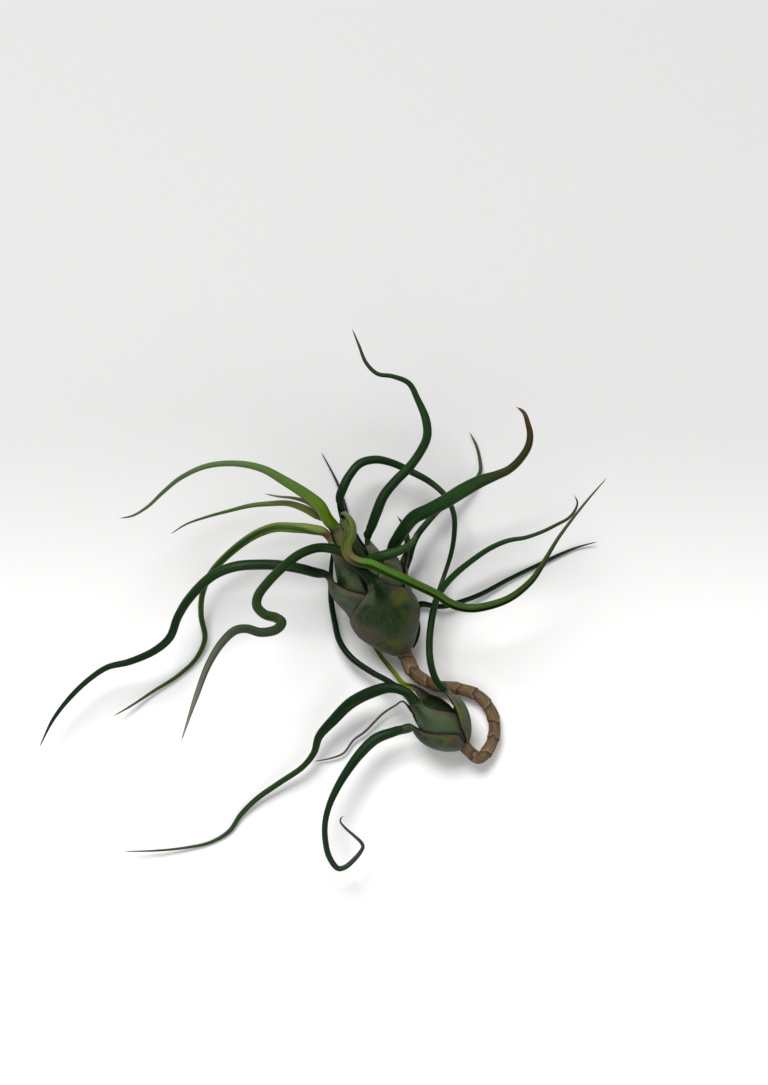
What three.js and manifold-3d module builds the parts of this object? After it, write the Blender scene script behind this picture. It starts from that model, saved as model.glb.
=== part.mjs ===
// An air plant with a pup: two bulbs of clasping leaf sheaths, each sheath drawn out into a rolled blade.
// Millimetres, +Z up. The plant lies on its back: the origin is the small flat spot under the larger bulb.
import * as THREE from "three";
import { mergeVertices } from "three/addons/utils/BufferGeometryUtils.js";
import Module from "manifold-3d";

const wasm = await Module();
wasm.setup();

// Driving dimensions
const WALL = 0.6; // thickness of sheaths and blades
const FLAT_WALL = 0.85; // thickness of the sheath that rests on the ground
const LAYER_PITCH = 1.25; // from one sheath to the next one inside it
const STEM_CLEAR = 0.4; // from the stem to the foot of a sheath
const FIRST_FOOT = 1; // least distance along a bulb's axis to the foot of a sheath
const FOOT_STEP = 0.1; // to which that distance is worked out
const MIN_INNER_RADIUS = 0.12; // of the groove along the finest tips
const ROLL_DEG = 140; // how far a blade is rolled to either side
const LEAD = 3; // length of sheath that a blade's middle line follows before it leaves
const NARROWING = 1.15; // how a sheath narrows: 1 for a straight edge, more for a hollow one
const BLEND_LENGTH = 6; // over which a sheath rolls up into its blade
const SHEATH_STEP = 4; // between two sections of a sheath
const NARROWING_STEP = 2; // the same where the sheath narrows
const MAX_STEP = 5; // longest stretch of blade between two sections
const MAX_TURN_DEG = 21; // most that a blade turns between two sections
const WIDE_SECTION = 6; // facets across a stout blade
const THIN_SECTION = 4; // facets across a thin blade
const THIN_WIDTH = 1.9; // blades narrower than this are thin
const WIDE_SHEATH_DEG = 130; // sheaths wider than this have twice a blade's facets
const FINE_STEPS = 500; // for measuring along a blade
const LEAF_ROUGHNESS = 0.55;
const WOOD_ROUGHNESS = 0.9;
const WOOD_COLOUR = 0x6a5138;

const deg = THREE.MathUtils.degToRad;
const { clamp, lerp, smoothstep } = THREE.MathUtils;

// A bulb: profile rows are [distance along the axis from the base, radius].
// The sheaths leave one by one between the ramp's two distances, down to the given number of layers.
const MOTHER = {
  base: new THREE.Vector3(5.5, -11.5, 5.75),
  leanDeg: 25.35, // of the axis from +Y towards -X, seen from above
  riseDeg: 15, // of the axis from the ground towards the neck
  profile: [
    [0, 1], [1.5, 3.2], [3.5, 5.0], [6.2, 6.9], [10.1, 9], [15.3, 10], [19.2, 10.25],
    [23, 9.7], [25.6, 8.3], [28.2, 6.8], [31, 5.2], [33.4, 4.3], [38.6, 3.7], [42, 3.6],
  ],
  ramp: [17, 33, 4],
  stem: [[-2.5, 2], [2, 2], [5, 1.7], [7.5, 1.2], [9, 0.8]],
};
const PUP = {
  base: new THREE.Vector3(20.75, -34.75, 5.6),
  leanDeg: 42.3,
  riseDeg: 12,
  profile: [
    [0, 0.8], [1, 2.6], [2.5, 4.3], [4.5, 5.8], [7, 7], [9.5, 7.5], [12, 7.2],
    [14, 6], [16, 4.4], [18, 3.3], [19.3, 3], [22, 3],
  ],
  ramp: [12, 18, 2],
  stem: [[-2, 1.6], [1.5, 1.6], [3.5, 1.2], [5, 0.8]],
};

// A leaf: layer counts inwards from the outermost sheath; azimuth turns from the upper side to +X about
// the bulb's axis; left and right are how far the sheath reaches from it; narrow and exit are the
// distances along the axis where the sheath starts to narrow and where the blade leaves.
// Route rows are [x, y, z, width of the blade].
const LEAVES = [
  {
    name: "leaf_front", bulb: MOTHER, colour: 0x35583a,
    layer: 0, azimuth: 5, left: 135, right: 107, narrow: 7, exit: 22,
    route: [
      [-2.4, 7.4, 23.2, 2.5], [-4.9, 9.6, 23.2, 2.4], [-7.6, 12.1, 22.6, 2.5],
      [-10.3, 14.5, 21.8, 2.5], [-15.2, 15.5, 22.6, 2.3], [-19.9, 14.1, 26, 2.3],
      [-23.7, 11.2, 30, 2.3], [-27.6, 7.2, 34.5, 2.3], [-29.8, 3.9, 38, 2.3],
      [-29.9, 1.6, 40, 2.3], [-27.9, -0.3, 42, 2.3], [-25.3, -1, 43.2, 2.4],
      [-23.8, -2.1, 44.9, 2.3], [-25.1, -3.7, 46.7, 2.3], [-28.6, -4.3, 47.8, 2.2],
      [-32, -3.4, 48.8, 2.1], [-34.5, -3.8, 50, 2.1], [-37.4, -6.5, 52, 1.9],
      [-40.3, -11.3, 54.5, 1.6], [-43, -18.7, 57.5, 1.3], [-46.2, -28.8, 60.5, 0.7],
    ],
  },
  {
    name: "leaf_right_low", bulb: MOTHER, colour: 0x2f5a2c,
    layer: -1, azimuth: 135, left: 55, right: 14, narrow: 3, exit: 7.5,
    route: [
      [8.4, 0.7, 1.5, 1.6], [10, 1.2, 2.1, 1.5], [12, 0.9, 2.6, 1.4], [15.2, 0.6, 2.9, 1.4],
      [19.7, 1.8, 2.6, 1.3], [24.6, 3.6, 2, 1.3], [32.2, 7.6, 1.1, 1.2],
      [40.1, 11.4, 0.75, 1.2], [44.9, 13.7, 0.65, 1.1], [49.2, 15.5, 0.8, 0.9],
      [54.5, 17, 1.6, 0.7],
    ],
  },
  {
    name: "leaf_left_dark", bulb: MOTHER, colour: 0x1f4a2c,
    layer: 1, azimuth: -78, left: 77, right: 113, narrow: 15, exit: 26,
    route: [
      [-13.9, 8.9, 15.4, 2.7], [-16.6, 9.4, 16.6, 2.7], [-20.3, 10.3, 17.6, 2.6],
      [-25.2, 11.1, 18.1, 2.6], [-30.8, 11.3, 18, 2.6], [-36.5, 10.8, 17.8, 2.6],
      [-42, 8.6, 17, 2.5], [-47.8, 3.1, 16, 2.3], [-50.8, -1.6, 15.2, 2.15],
      [-52.9, -6.8, 14.4, 2.1], [-56.7, -10.1, 13.6, 1.95], [-63, -12.9, 12.4, 1.75],
      [-68.8, -14.4, 11.4, 1.5], [-73.5, -17.5, 10.4, 1.4], [-78.1, -21.8, 9.4, 1.3],
      [-82.7, -27.6, 8.2, 1.1], [-86.4, -34.8, 7, 0.7],
    ],
  },
  {
    name: "leaf_right_thin", bulb: MOTHER, colour: 0x2c5a2a, wall: FLAT_WALL,
    layer: 0, azimuth: 130, left: 12, right: 90, narrow: 8, exit: 16,
    route: [
      [5.6, 10, 4.2, 1.8], [6.6, 13, 5.4, 1.8], [7.3, 15.6, 6.8, 1.7], [8.5, 18.4, 7.6, 1.7],
      [11.3, 22, 8, 1.6], [14.6, 25.5, 7, 1.5], [18.9, 28.8, 5.4, 1.25],
      [22.5, 31.7, 3.4, 1.15], [24.6, 34.7, 1.6, 1.1], [24.6, 37.6, 0.75, 1.05],
      [23.6, 41.6, 0.9, 0.95], [21.8, 44.9, 1.6, 0.7],
    ],
  },
  {
    name: "leaf_right_broad", bulb: MOTHER, colour: 0x1f4d2a,
    layer: 2, azimuth: 63, left: 120, right: 100, narrow: 17, exit: 26,
    route: [
      [2.6, 16, 18, 3.2], [4.9, 19.7, 20.4, 3.3], [7.6, 22.9, 21.8, 3.4],
      [11.5, 24.8, 22.8, 3.4], [15.6, 27, 23.8, 3.5], [19.3, 29.3, 24.8, 3.6],
      [23.4, 31.5, 26.2, 3.2], [27.4, 33, 27.6, 2.3], [30.5, 34.4, 28.8, 2],
      [33.1, 36.8, 30, 1.9], [35, 39.9, 31.4, 1.8], [35.4, 42.7, 32.6, 1.6],
      [34.8, 45.3, 33.6, 1.3], [33.8, 47.9, 34.4, 1.1], [31.9, 49.3, 35, 0.8],
    ],
  },
  {
    name: "leaf_spike", bulb: MOTHER, colour: 0x22402c,
    layer: 1, azimuth: 98, left: 55, right: 95, narrow: 14, exit: 21,
    route: [[5.6, 13.6, 11.4, 2], [6, 17.3, 13, 1.6], [5, 21, 14.6, 1.1], [3.5, 23.4, 15.6, 0.7]],
  },
  {
    name: "leaf_short_green", bulb: MOTHER, colour: 0x3d7a2b,
    layer: 3, azimuth: 17, left: 20, right: 80, narrow: 18, exit: 26,
    route: [
      [-3.2, 12.3, 20.4, 2.6], [-1.5, 13.1, 21.3, 2.7], [1.2, 13.9, 22, 2.6],
      [3.9, 14.7, 22.6, 2.2], [6.6, 16.3, 23.6, 1.7], [8.5, 19.2, 24.8, 0.7],
    ],
  },
  {
    name: "leaf_left_low", bulb: MOTHER, colour: 0x3f7a2c,
    layer: 3, azimuth: -85, left: 75, right: 74, narrow: 26, exit: 35,
    route: [
      [-14.4, 19.3, 16.8, 2.8], [-17.7, 20.1, 18, 2.7], [-21.9, 20.4, 18, 2.6],
      [-26.4, 20.5, 17, 2.4], [-29.9, 19.5, 15.8, 2.3], [-33.7, 17.5, 14, 2.1],
      [-39.1, 13.3, 11.4, 1.9], [-43.3, 8.7, 8.8, 1.65], [-45.5, 3.4, 6.2, 1.5],
      [-45.9, -1.7, 4.2, 1.45], [-45.1, -7.6, 2.4, 1.4], [-47.4, -12.7, 1.2, 1.25],
      [-52, -17, 0.9, 1.15], [-58.3, -21, 1.4, 1.05], [-64.1, -24.8, 2.4, 0.9],
      [-68.3, -27.2, 3.2, 0.7],
    ],
  },
  {
    name: "leaf_top", bulb: MOTHER, colour: 0x21502d,
    layer: 4, azimuth: 75, left: 70, right: 75, narrow: 22, exit: 31,
    route: [
      [-3.6, 19, 17, 2.6], [-2.6, 21.6, 17.8, 2.6], [-1.5, 24.4, 18.2, 2.6], [0.2, 28.3, 18.4, 2.5],
      [3.2, 32, 18.8, 2.4], [6.4, 35.2, 19.4, 2.3], [9.1, 38.9, 20.2, 2.2],
      [10.8, 42.7, 21.4, 2.2], [10.5, 46.8, 22.8, 2.1], [8.5, 51.6, 24.4, 1.6],
      [6.3, 55.5, 25.8, 1.35], [2.4, 57.1, 27, 1.2], [-1.4, 57.7, 28, 1.15],
      [-4.1, 60.3, 28.8, 1.1], [-5.8, 64.4, 29.6, 0.95], [-7.5, 68.5, 30, 0.7],
    ],
  },
  {
    name: "leaf_upper_left", bulb: MOTHER, colour: 0x6f9a1e,
    layer: 4.1, azimuth: -42, left: 33, right: 38, narrow: 30, exit: 37,
    route: [
      [-13.6, 22.5, 20, 2.9], [-15.5, 25.8, 22.4, 3], [-18.8, 28.5, 23.8, 2.8],
      [-23.7, 31.6, 25.6, 2.4], [-29.4, 34.7, 27.2, 1.85], [-35.9, 35.9, 28.4, 1.5],
      [-42.9, 35.2, 28.8, 1.3], [-49.2, 32.3, 28.4, 1.2], [-53.4, 28.9, 27.8, 1.1],
      [-57.1, 25.5, 27, 1], [-60.8, 23.3, 26.2, 0.9], [-64.3, 22.6, 25.4, 0.7],
    ],
  },
  {
    name: "leaf_grey_tip", bulb: MOTHER, colour: 0x6c7a50,
    layer: 4.1, azimuth: -98, left: 15, right: 15, narrow: 31, exit: 37,
    route: [
      [-14, 22.6, 17.2, 1.6], [-16.3, 25.2, 19, 1.5], [-18.9, 26.8, 19.9, 1.2],
      [-22.3, 27.7, 20.8, 1], [-25.5, 28, 21.6, 0.9], [-29.1, 28.7, 22.6, 0.7],
    ],
  },
  {
    name: "leaf_olive_left", bulb: MOTHER, colour: 0x77892c,
    layer: 4.1, azimuth: -140, left: 18, right: 18, narrow: 31, exit: 37,
    route: [
      [-13.6, 22.4, 14.6, 2.2], [-16.6, 23.7, 16, 2.2], [-19.5, 25.2, 17, 1.9],
      [-23.4, 26.4, 18, 1.5], [-28, 26.3, 19, 1.3], [-32.7, 25.8, 19.8, 1.2],
      [-38.3, 24.4, 20.4, 1.05], [-43.7, 22.9, 20.8, 0.95], [-48.4, 21.2, 20.8, 0.85],
      [-52.3, 18.7, 20.4, 0.7],
    ],
  },
  {
    name: "leaf_arch", bulb: MOTHER, colour: 0x24552c,
    layer: 5, azimuth: 150, left: 35, right: 35, narrow: 30, exit: 37,
    route: [
      [-10.9, 27.2, 13.8, 2.4], [-9.9, 30.4, 14, 2.4],
      [-8.2, 33.6, 13.6, 2.2], [-5.7, 36.4, 13, 2.2], [-2, 37.4, 12.2, 2.1],
      [2, 36.7, 11.2, 1.9], [7, 34.5, 9.8, 1.8], [11.8, 31.8, 11, 1.6], [15.6, 28.3, 12, 1.4],
      [17.6, 24.1, 11, 1.35], [17.9, 19.5, 8.4, 1.3], [17.2, 14.2, 6, 1.25],
      [15.7, 9.2, 4.4, 1.2], [14.2, 5.1, 5.2, 1.15], [12.9, 0.6, 5.6, 1.05],
      [12.4, -3.5, 5.2, 0.8],
    ],
  },
  {
    name: "leaf_looped", bulb: MOTHER, colour: 0x4a8a2a,
    layer: 6, azimuth: 60, left: 140, right: 140, narrow: 12, exit: 38,
    route: [
      [-9.3, 23.2, 18.8, 2.7], [-9.8, 22.8, 21.3, 2.9], [-9.8, 22.6, 23.4, 3.2],
      [-9.1, 22.1, 25.1, 3.4], [-8.2, 20.7, 26.1, 3.4], [-8.1, 18.5, 26.4, 3.3], [-9, 16, 26.4, 3.1],
      [-8.6, 13.6, 26.2, 2.9], [-6.3, 12, 26, 2.7], [-2.9, 11.3, 26, 2.7],
      [1.2, 9.4, 25.6, 2.7], [5.6, 7.5, 25, 2.6], [13, 4, 23.8, 2.4], [16.9, 1.6, 23.4, 2.4],
      [21.3, 0.6, 23.6, 2.3], [26.4, 1.4, 24.2, 2.2], [31.2, 3.3, 25, 2],
      [36, 7.3, 26.2, 1.7], [38.4, 10.7, 27, 1.4], [40, 13.6, 27.8, 1.2],
      [42.4, 17.7, 28.8, 1.1], [45.9, 22.6, 30, 1], [49.7, 27.4, 31, 0.9], [54, 32.4, 32, 0.7],
    ],
  },
  {
    name: "pup_leaf_hooked", bulb: PUP, colour: 0x27552d,
    layer: 0, azimuth: -80, left: 90, right: 95, narrow: 5, exit: 13,
    route: [
      [4.6, -30.2, 8.4, 2.3], [2.2, -30.8, 8.8, 2.6], [-1.8, -32.4, 9.2, 2.8],
      [-5.5, -35.8, 9.8, 2.6], [-8.7, -40, 10.4, 2.2], [-11.5, -44.6, 11, 1.9],
      [-13.5, -49.1, 11.8, 1.6], [-14.4, -53, 12.4, 1.5], [-14.4, -56.9, 12.8, 1.5],
      [-13.4, -61.4, 12.8, 1.5], [-11.2, -64.4, 12.4, 1.4], [-9.4, -64.1, 12.1, 1.3],
      [-7.2, -62.3, 11.6, 1.25], [-5.5, -60.3, 11, 1.15], [-5, -59.1, 10.7, 1.1],
      [-5.5, -58.1, 10.5, 1.1], [-7.4, -56.4, 10, 1], [-9.5, -54.6, 9.6, 0.95],
      [-10.7, -53, 9.2, 0.85], [-10.3, -52, 9, 0.8], [-9.5, -51.9, 8.8, 0.7],
    ],
  },
  {
    name: "pup_leaf_right", bulb: PUP, colour: 0x2c5f2c,
    layer: 0, azimuth: 70, left: 45, right: 90, narrow: 6, exit: 13,
    route: [
      [13.6, -18.2, 12.4, 1.8], [11.9, -13.4, 12.4, 1.8], [11.6, -7.7, 11.4, 1.8],
      [12.5, -0.8, 10.2, 1.8], [13.5, 2.8, 10.2, 1.7], [15.2, 5.8, 10.8, 1.7],
      [18.5, 9.3, 11.6, 1.6], [22.2, 12.3, 12.4, 1.45], [26.6, 15.3, 13.4, 1.35],
      [31, 17.2, 14.4, 1.25], [35.4, 18, 15.2, 1.15], [39.6, 19.5, 16.2, 1.1],
      [43, 21.2, 17, 1.05], [45.7, 22.7, 17.6, 1], [47.3, 24.6, 18.2, 0.95],
      [47.9, 26.6, 18.6, 0.85], [47, 28.6, 19, 0.7],
    ],
  },
  {
    name: "pup_leaf_left", bulb: PUP, colour: 0x2f6a2b,
    layer: 1, azimuth: -30, left: 60, right: 80, narrow: 9, exit: 16,
    route: [
      [6.2, -20.8, 13.2, 2.4], [2, -19.4, 12.2, 2.7], [-2.5, -20.5, 11, 3],
      [-8, -23.4, 9.2, 3], [-12.6, -28, 7.4, 2.7], [-16.1, -32.1, 6.2, 2.1],
      [-17.4, -36.2, 5.2, 1.7], [-20.2, -39.8, 4.4, 1.5], [-26, -43.9, 3.2, 1.5],
      [-31.9, -48.1, 2.2, 1.4], [-36, -52.2, 1.25, 1.3], [-39.1, -56.6, 0.7, 1.2],
      [-43.9, -59.4, 0.6, 1.05], [-49.7, -60.6, 1.2, 0.97], [-57.3, -61.3, 2, 0.9],
      [-65.5, -61.4, 3, 0.7],
    ],
  },
  {
    name: "pup_leaf_dry", bulb: PUP, colour: 0x6f6a62,
    layer: 1, azimuth: -125, left: 20, right: 22, narrow: 9, exit: 15,
    route: [
      [5, -23.2, 5, 0.9], [3, -24.4, 4.4, 0.9], [0, -26.4, 3.4, 0.95],
      [-4.6, -31.1, 2.2, 1], [-7.6, -33.4, 1.8, 0.95], [-9.9, -36.5, 1.6, 0.95],
      [-12.7, -37.8, 1.5, 0.9], [-17.8, -38.8, 1.4, 0.7],
    ],
  },
  {
    name: "pup_leaf_behind", bulb: PUP, colour: 0x214c2b,
    layer: 2, azimuth: -100, left: 50, right: 60, narrow: 13, exit: 19,
    route: [
      [4.2, -19.8, 9.2, 1.7], [1.4, -17.9, 7.6, 1.9], [-3, -15.6, 6, 1.9],
      [-8.1, -12, 4.6, 1.9], [-10.9, -8, 4, 1.8], [-12.1, -3.2, 3.8, 1.7],
      [-13, 2.1, 4, 1.6], [-13.1, 7.7, 4.8, 1.4], [-12.8, 13, 6, 1.1],
      [-12.3, 16.5, 7, 0.7],
    ],
  },
  {
    name: "pup_leaf_young", bulb: PUP, colour: 0x7f9a2c,
    layer: 2, azimuth: 160, left: 55, right: 40, narrow: 13, exit: 19,
    route: [
      [5.2, -18.9, 4.6, 1.4], [2.6, -16, 2.6, 1.3], [-1, -11.5, 1.2, 1.2],
      [-4.6, -4.6, 0.65, 1.1], [-6.6, 4.1, 0.65, 1.1], [-7.9, 13.2, 1.2, 1.1],
      [-9.1, 23.8, 1.8, 1.05], [-11.4, 31.4, 1.4, 0.95], [-15.7, 39.8, 0.7, 0.7],
    ],
  },
];

// The woody runner between the two stems: rows are [x, y, z, radius]
const RUNNER = [
  [7.2, -15.2, 5.2, 1.9], [9.4, -17.4, 4.6, 1.7], [13.6, -19.4, 3.4, 1.6], [19, -20.2, 2.6, 1.6],
  [24.2, -22.2, 2.4, 1.6], [27.6, -26.6, 2.4, 1.6], [28.2, -31.6, 2.8, 1.6], [26.4, -35.8, 3.6, 1.6],
  [24.2, -37.6, 4.4, 1.6],
];
const RUNNER_SIDES = 8;
const RUNNER_STEPS = 22;

// The value at x of a smooth line through [x, y] rows
function valueAt(rows, x) {
  const last = rows.length - 1;
  if (x <= rows[0][0]) return rows[0][1];
  if (x >= rows[last][0]) return rows[last][1];
  const i = rows.findIndex((row) => row[0] > x) - 1;
  const slope = (j) => {
    const a = rows[Math.max(j - 1, 0)];
    const b = rows[Math.min(j + 1, last)];
    return (b[1] - a[1]) / (b[0] - a[0]);
  };
  const [x0, y0] = rows[i];
  const [x1, y1] = rows[i + 1];
  const span = x1 - x0;
  const f = (x - x0) / span;
  const bend0 = slope(i) * span;
  const bend1 = slope(i + 1) * span;
  const cubic = 2 * (y0 - y1) + bend0 + bend1;
  const square = 3 * (y1 - y0) - 2 * bend0 - bend1;
  return ((cubic * f + square) * f + bend0) * f + y0;
}

// A bulb's own directions: along its axis, to its upper side and to its right
function directions(bulb) {
  const lean = deg(bulb.leanDeg);
  const rise = deg(bulb.riseDeg);
  const level = new THREE.Vector3(-Math.sin(lean), Math.cos(lean), 0);
  const up = new THREE.Vector3(0, 0, 1);
  const along = level.clone().multiplyScalar(Math.cos(rise)).addScaledVector(up, Math.sin(rise));
  const upper = up.clone().multiplyScalar(Math.cos(rise)).addScaledVector(level, -Math.sin(rise));
  return { along, upper, right: along.clone().cross(upper) };
}

function axisPoint(bulb, distance) {
  return bulb.base.clone().addScaledVector(directions(bulb).along, distance);
}

// The direction from the bulb's axis outwards at an azimuth
function outward(bulb, azimuth) {
  const { upper, right } = directions(bulb);
  return upper.clone().multiplyScalar(Math.cos(azimuth)).addScaledVector(right, Math.sin(azimuth));
}

// The middle radius of a layer of sheaths: inner layers come to the outside as the outer ones leave
function layerRadius(bulb, layer, distance) {
  const [from, to, count] = bulb.ramp;
  const gone = clamp((distance - from) / (to - from), 0, 1) * count;
  return valueAt(bulb.profile, distance) - LAYER_PITCH * (layer - gone) - WALL / 2;
}

// Where a layer's sheath clears the stem inside it
function footDistance(bulb, layer) {
  let distance = FIRST_FOOT;
  while (layerRadius(bulb, layer, distance) - WALL / 2 < valueAt(bulb.stem, distance) + STEM_CLEAR) {
    distance += FOOT_STEP;
  }
  return distance;
}

// One section: a curved strip about a centre, from -left to right, seen from its hollow side
function section(centre, hollow, across, radius, wall, left, right) {
  return { centre, hollow, across, outer: radius + wall / 2, inner: radius - wall / 2, left, right };
}

function sectionPoint(cut, radius, angle) {
  return cut.centre.clone()
    .addScaledVector(cut.hollow, -radius * Math.cos(angle))
    .addScaledVector(cut.across, radius * Math.sin(angle));
}

// How far the sheath reaches to one side, from full width down to the foot of the blade
function reach(full, foot, leaf, distance) {
  const f = clamp((distance - leaf.narrow) / (leaf.exit - leaf.narrow), 0, 1);
  return lerp(full, foot, f ** NARROWING);
}

// All sheaths of a bulb have their sections at the same distances, so that their facets lie alike,
// with further ones where a sheath narrows
function sheathDistances(start, leaf) {
  const distances = [start];
  const first = Math.ceil(start + 1);
  for (let distance = first; distance < leaf.exit - 0.5; distance += 1) {
    const step = distance > leaf.narrow ? NARROWING_STEP : SHEATH_STEP;
    if (distance % step === 0) distances.push(distance);
  }
  return [...distances, leaf.exit];
}

function sheathSections(leaf, wall, bladeHalfArc) {
  const { bulb, layer } = leaf;
  const start = footDistance(bulb, layer);
  const azimuth = deg(leaf.azimuth);
  const out = outward(bulb, azimuth);
  const across = directions(bulb).along.clone().cross(out);
  const sections = [];
  for (const distance of sheathDistances(start, leaf)) {
    const radius = layerRadius(bulb, layer, distance);
    const foot = bladeHalfArc / radius;
    const left = reach(deg(leaf.left), Math.min(foot, deg(leaf.left)), leaf, distance);
    const right = reach(deg(leaf.right), Math.min(foot, deg(leaf.right)), leaf, distance);
    const hollow = out.clone().negate();
    sections.push(section(axisPoint(bulb, distance), hollow, across, radius, wall, left, right));
  }
  return sections;
}

// The blade's middle line, on from the sheath's, with the width of the blade along it
function bladePath(leaf) {
  const { bulb, layer, exit } = leaf;
  const out = outward(bulb, deg(leaf.azimuth));
  const lead = [exit - LEAD, exit].map((distance) => (
    axisPoint(bulb, distance).addScaledVector(out, layerRadius(bulb, layer, distance))
  ));
  const points = [...lead, ...leaf.route.map(([x, y, z]) => new THREE.Vector3(x, y, z))];
  const curve = new THREE.CatmullRomCurve3(points, false, "centripetal");
  const widths = [leaf.route[0][3], leaf.route[0][3], ...leaf.route.map((row) => row[3])];
  const widthAt = (t) => {
    const place = t * (widths.length - 1);
    const i = Math.min(Math.floor(place), widths.length - 2);
    return lerp(widths[i], widths[i + 1], place - i);
  };
  return { curve, widthAt, start: 1 / (points.length - 1) };
}

// Places for the blade's sections: closer together where it bends
function bladeStations(path) {
  const { curve, widthAt, start } = path;
  const stations = [{ t: start, point: curve.getPoint(start), tangent: curve.getTangent(start), length: 0 }];
  let length = 0;
  let before = stations[0].point;
  for (let i = 1; i <= FINE_STEPS; i += 1) {
    const t = lerp(start, 1, i / FINE_STEPS);
    const point = curve.getPoint(t);
    const tangent = curve.getTangent(t);
    length += point.distanceTo(before);
    before = point;
    const last = stations[stations.length - 1];
    const turned = tangent.angleTo(last.tangent) > deg(MAX_TURN_DEG);
    const long = length - last.length > MAX_STEP;
    if ((turned && length - last.length > 1) || long || i === FINE_STEPS) {
      stations.push({ t, point, tangent, length });
    }
  }
  stations.forEach((station) => { station.width = widthAt(station.t); });
  return stations.slice(1);
}

function bladeSections(leaf, wall, path, sheathEnd) {
  const sections = [];
  let hollow = sheathEnd.hollow.clone();
  const startRadius = (sheathEnd.outer + sheathEnd.inner) / 2;
  for (const station of bladeStations(path)) {
    hollow = hollow.clone().addScaledVector(station.tangent, -hollow.dot(station.tangent)).normalize();
    const across = hollow.clone().cross(station.tangent);
    const outer = station.width / 2;
    const inner = Math.max(outer - wall, MIN_INNER_RADIUS);
    const middle = (outer + inner) / 2;
    const f = smoothstep(station.length, 0, BLEND_LENGTH);
    const radius = 1 / lerp(1 / startRadius, 1 / middle, f);
    const rolled = middle * deg(ROLL_DEG);
    const [left, right] = [sheathEnd.left, sheathEnd.right].map((angle) => (
      Math.min(lerp(startRadius * angle, rolled, f) / radius, deg(ROLL_DEG))
    ));
    const thickness = lerp(wall, outer - inner, f);
    const centre = station.point.clone().addScaledVector(hollow, lerp(radius, 0, f));
    sections.push(section(centre, hollow, across, radius, thickness, left, right));
  }
  return sections;
}

function ring(cut, facets) {
  const angles = [];
  for (let i = 0; i <= facets; i += 1) angles.push(lerp(-cut.left, cut.right, i / facets));
  return {
    outer: angles.map((angle) => sectionPoint(cut, cut.outer, angle)),
    inner: angles.map((angle) => sectionPoint(cut, cut.inner, angle)),
  };
}

// Triangles between two rows of points; the second row may have half as many facets as the first
function strip(first, second, add) {
  const halved = first.length > second.length;
  for (let i = 0; i < second.length - 1; i += 1) {
    const [a, b] = [first[halved ? 2 * i : i], first[halved ? 2 * i + 1 : i + 1]];
    const [c, d] = [second[i], second[i + 1]];
    add(a, b, c);
    add(b, d, c);
    if (halved) add(b, first[2 * i + 2], d);
  }
}

// One closed body through all the rings: outer face, inner face, both edges and both ends
function loft(rings) {
  const positions = [];
  const add = (a, b, c) => positions.push(...a, ...b, ...c);
  const flipped = (a, b, c) => add(a, c, b);
  const ends = (row) => [row[0], row[row.length - 1]];
  for (let i = 0; i < rings.length - 1; i += 1) {
    const [here, next] = [rings[i], rings[i + 1]];
    strip(here.outer, next.outer, add);
    strip(here.inner, next.inner, flipped);
    const [outerLeft, outerRight] = ends(here.outer);
    const [innerLeft, innerRight] = ends(here.inner);
    const [nextOuterLeft, nextOuterRight] = ends(next.outer);
    const [nextInnerLeft, nextInnerRight] = ends(next.inner);
    add(innerLeft, outerLeft, nextInnerLeft);
    add(outerLeft, nextOuterLeft, nextInnerLeft);
    flipped(innerRight, outerRight, nextInnerRight);
    flipped(outerRight, nextOuterRight, nextInnerRight);
  }
  strip(rings[0].inner, rings[0].outer, add);
  const tip = rings[rings.length - 1];
  strip(tip.inner, tip.outer, flipped);
  const geometry = new THREE.BufferGeometry();
  geometry.setAttribute("position", new THREE.Float32BufferAttribute(positions, 3));
  return mergeVertices(geometry, 1e-4);
}

function leafGeometry(leaf) {
  const wall = leaf.wall ?? WALL;
  const path = bladePath(leaf);
  const firstWidth = leaf.route[0][3];
  const facets = Math.max(...leaf.route.map((row) => row[3])) < THIN_WIDTH ? THIN_SECTION : WIDE_SECTION;
  const wideSheath = leaf.left + leaf.right > WIDE_SHEATH_DEG;
  const halfArc = (firstWidth / 2 - WALL / 2) * deg(ROLL_DEG);
  const sheath = sheathSections(leaf, wall, halfArc);
  const blade = bladeSections(leaf, WALL, path, sheath[sheath.length - 1]);
  const rings = [
    ...sheath.map((cut) => ring(cut, wideSheath ? 2 * facets : facets)),
    ...blade.map((cut) => ring(cut, facets)),
  ];
  return loft(rings.map(({ outer, inner }) => ({
    outer: outer.map((point) => point.toArray()),
    inner: inner.map((point) => point.toArray()),
  })));
}

// Cutting flat what lies below the ground
const CUT_SIZE = 60;

function toManifold(geometry) {
  const bare = geometry.clone();
  bare.deleteAttribute("normal");
  bare.deleteAttribute("uv");
  const merged = mergeVertices(bare, 1e-4);
  return new wasm.Manifold(new wasm.Mesh({
    numProp: 3,
    vertProperties: new Float32Array(merged.attributes.position.array),
    triVerts: new Uint32Array(merged.index.array),
  }));
}

function cutAtGround(geometry) {
  const block = new THREE.BoxGeometry(CUT_SIZE, CUT_SIZE, CUT_SIZE).translate(0, 0, -CUT_SIZE / 2);
  const mesh = toManifold(geometry).subtract(toManifold(block)).getMesh();
  const cut = new THREE.BufferGeometry();
  cut.setAttribute("position", new THREE.BufferAttribute(mesh.vertProperties, 3));
  cut.setIndex(new THREE.BufferAttribute(mesh.triVerts, 1));
  return cut;
}

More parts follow.
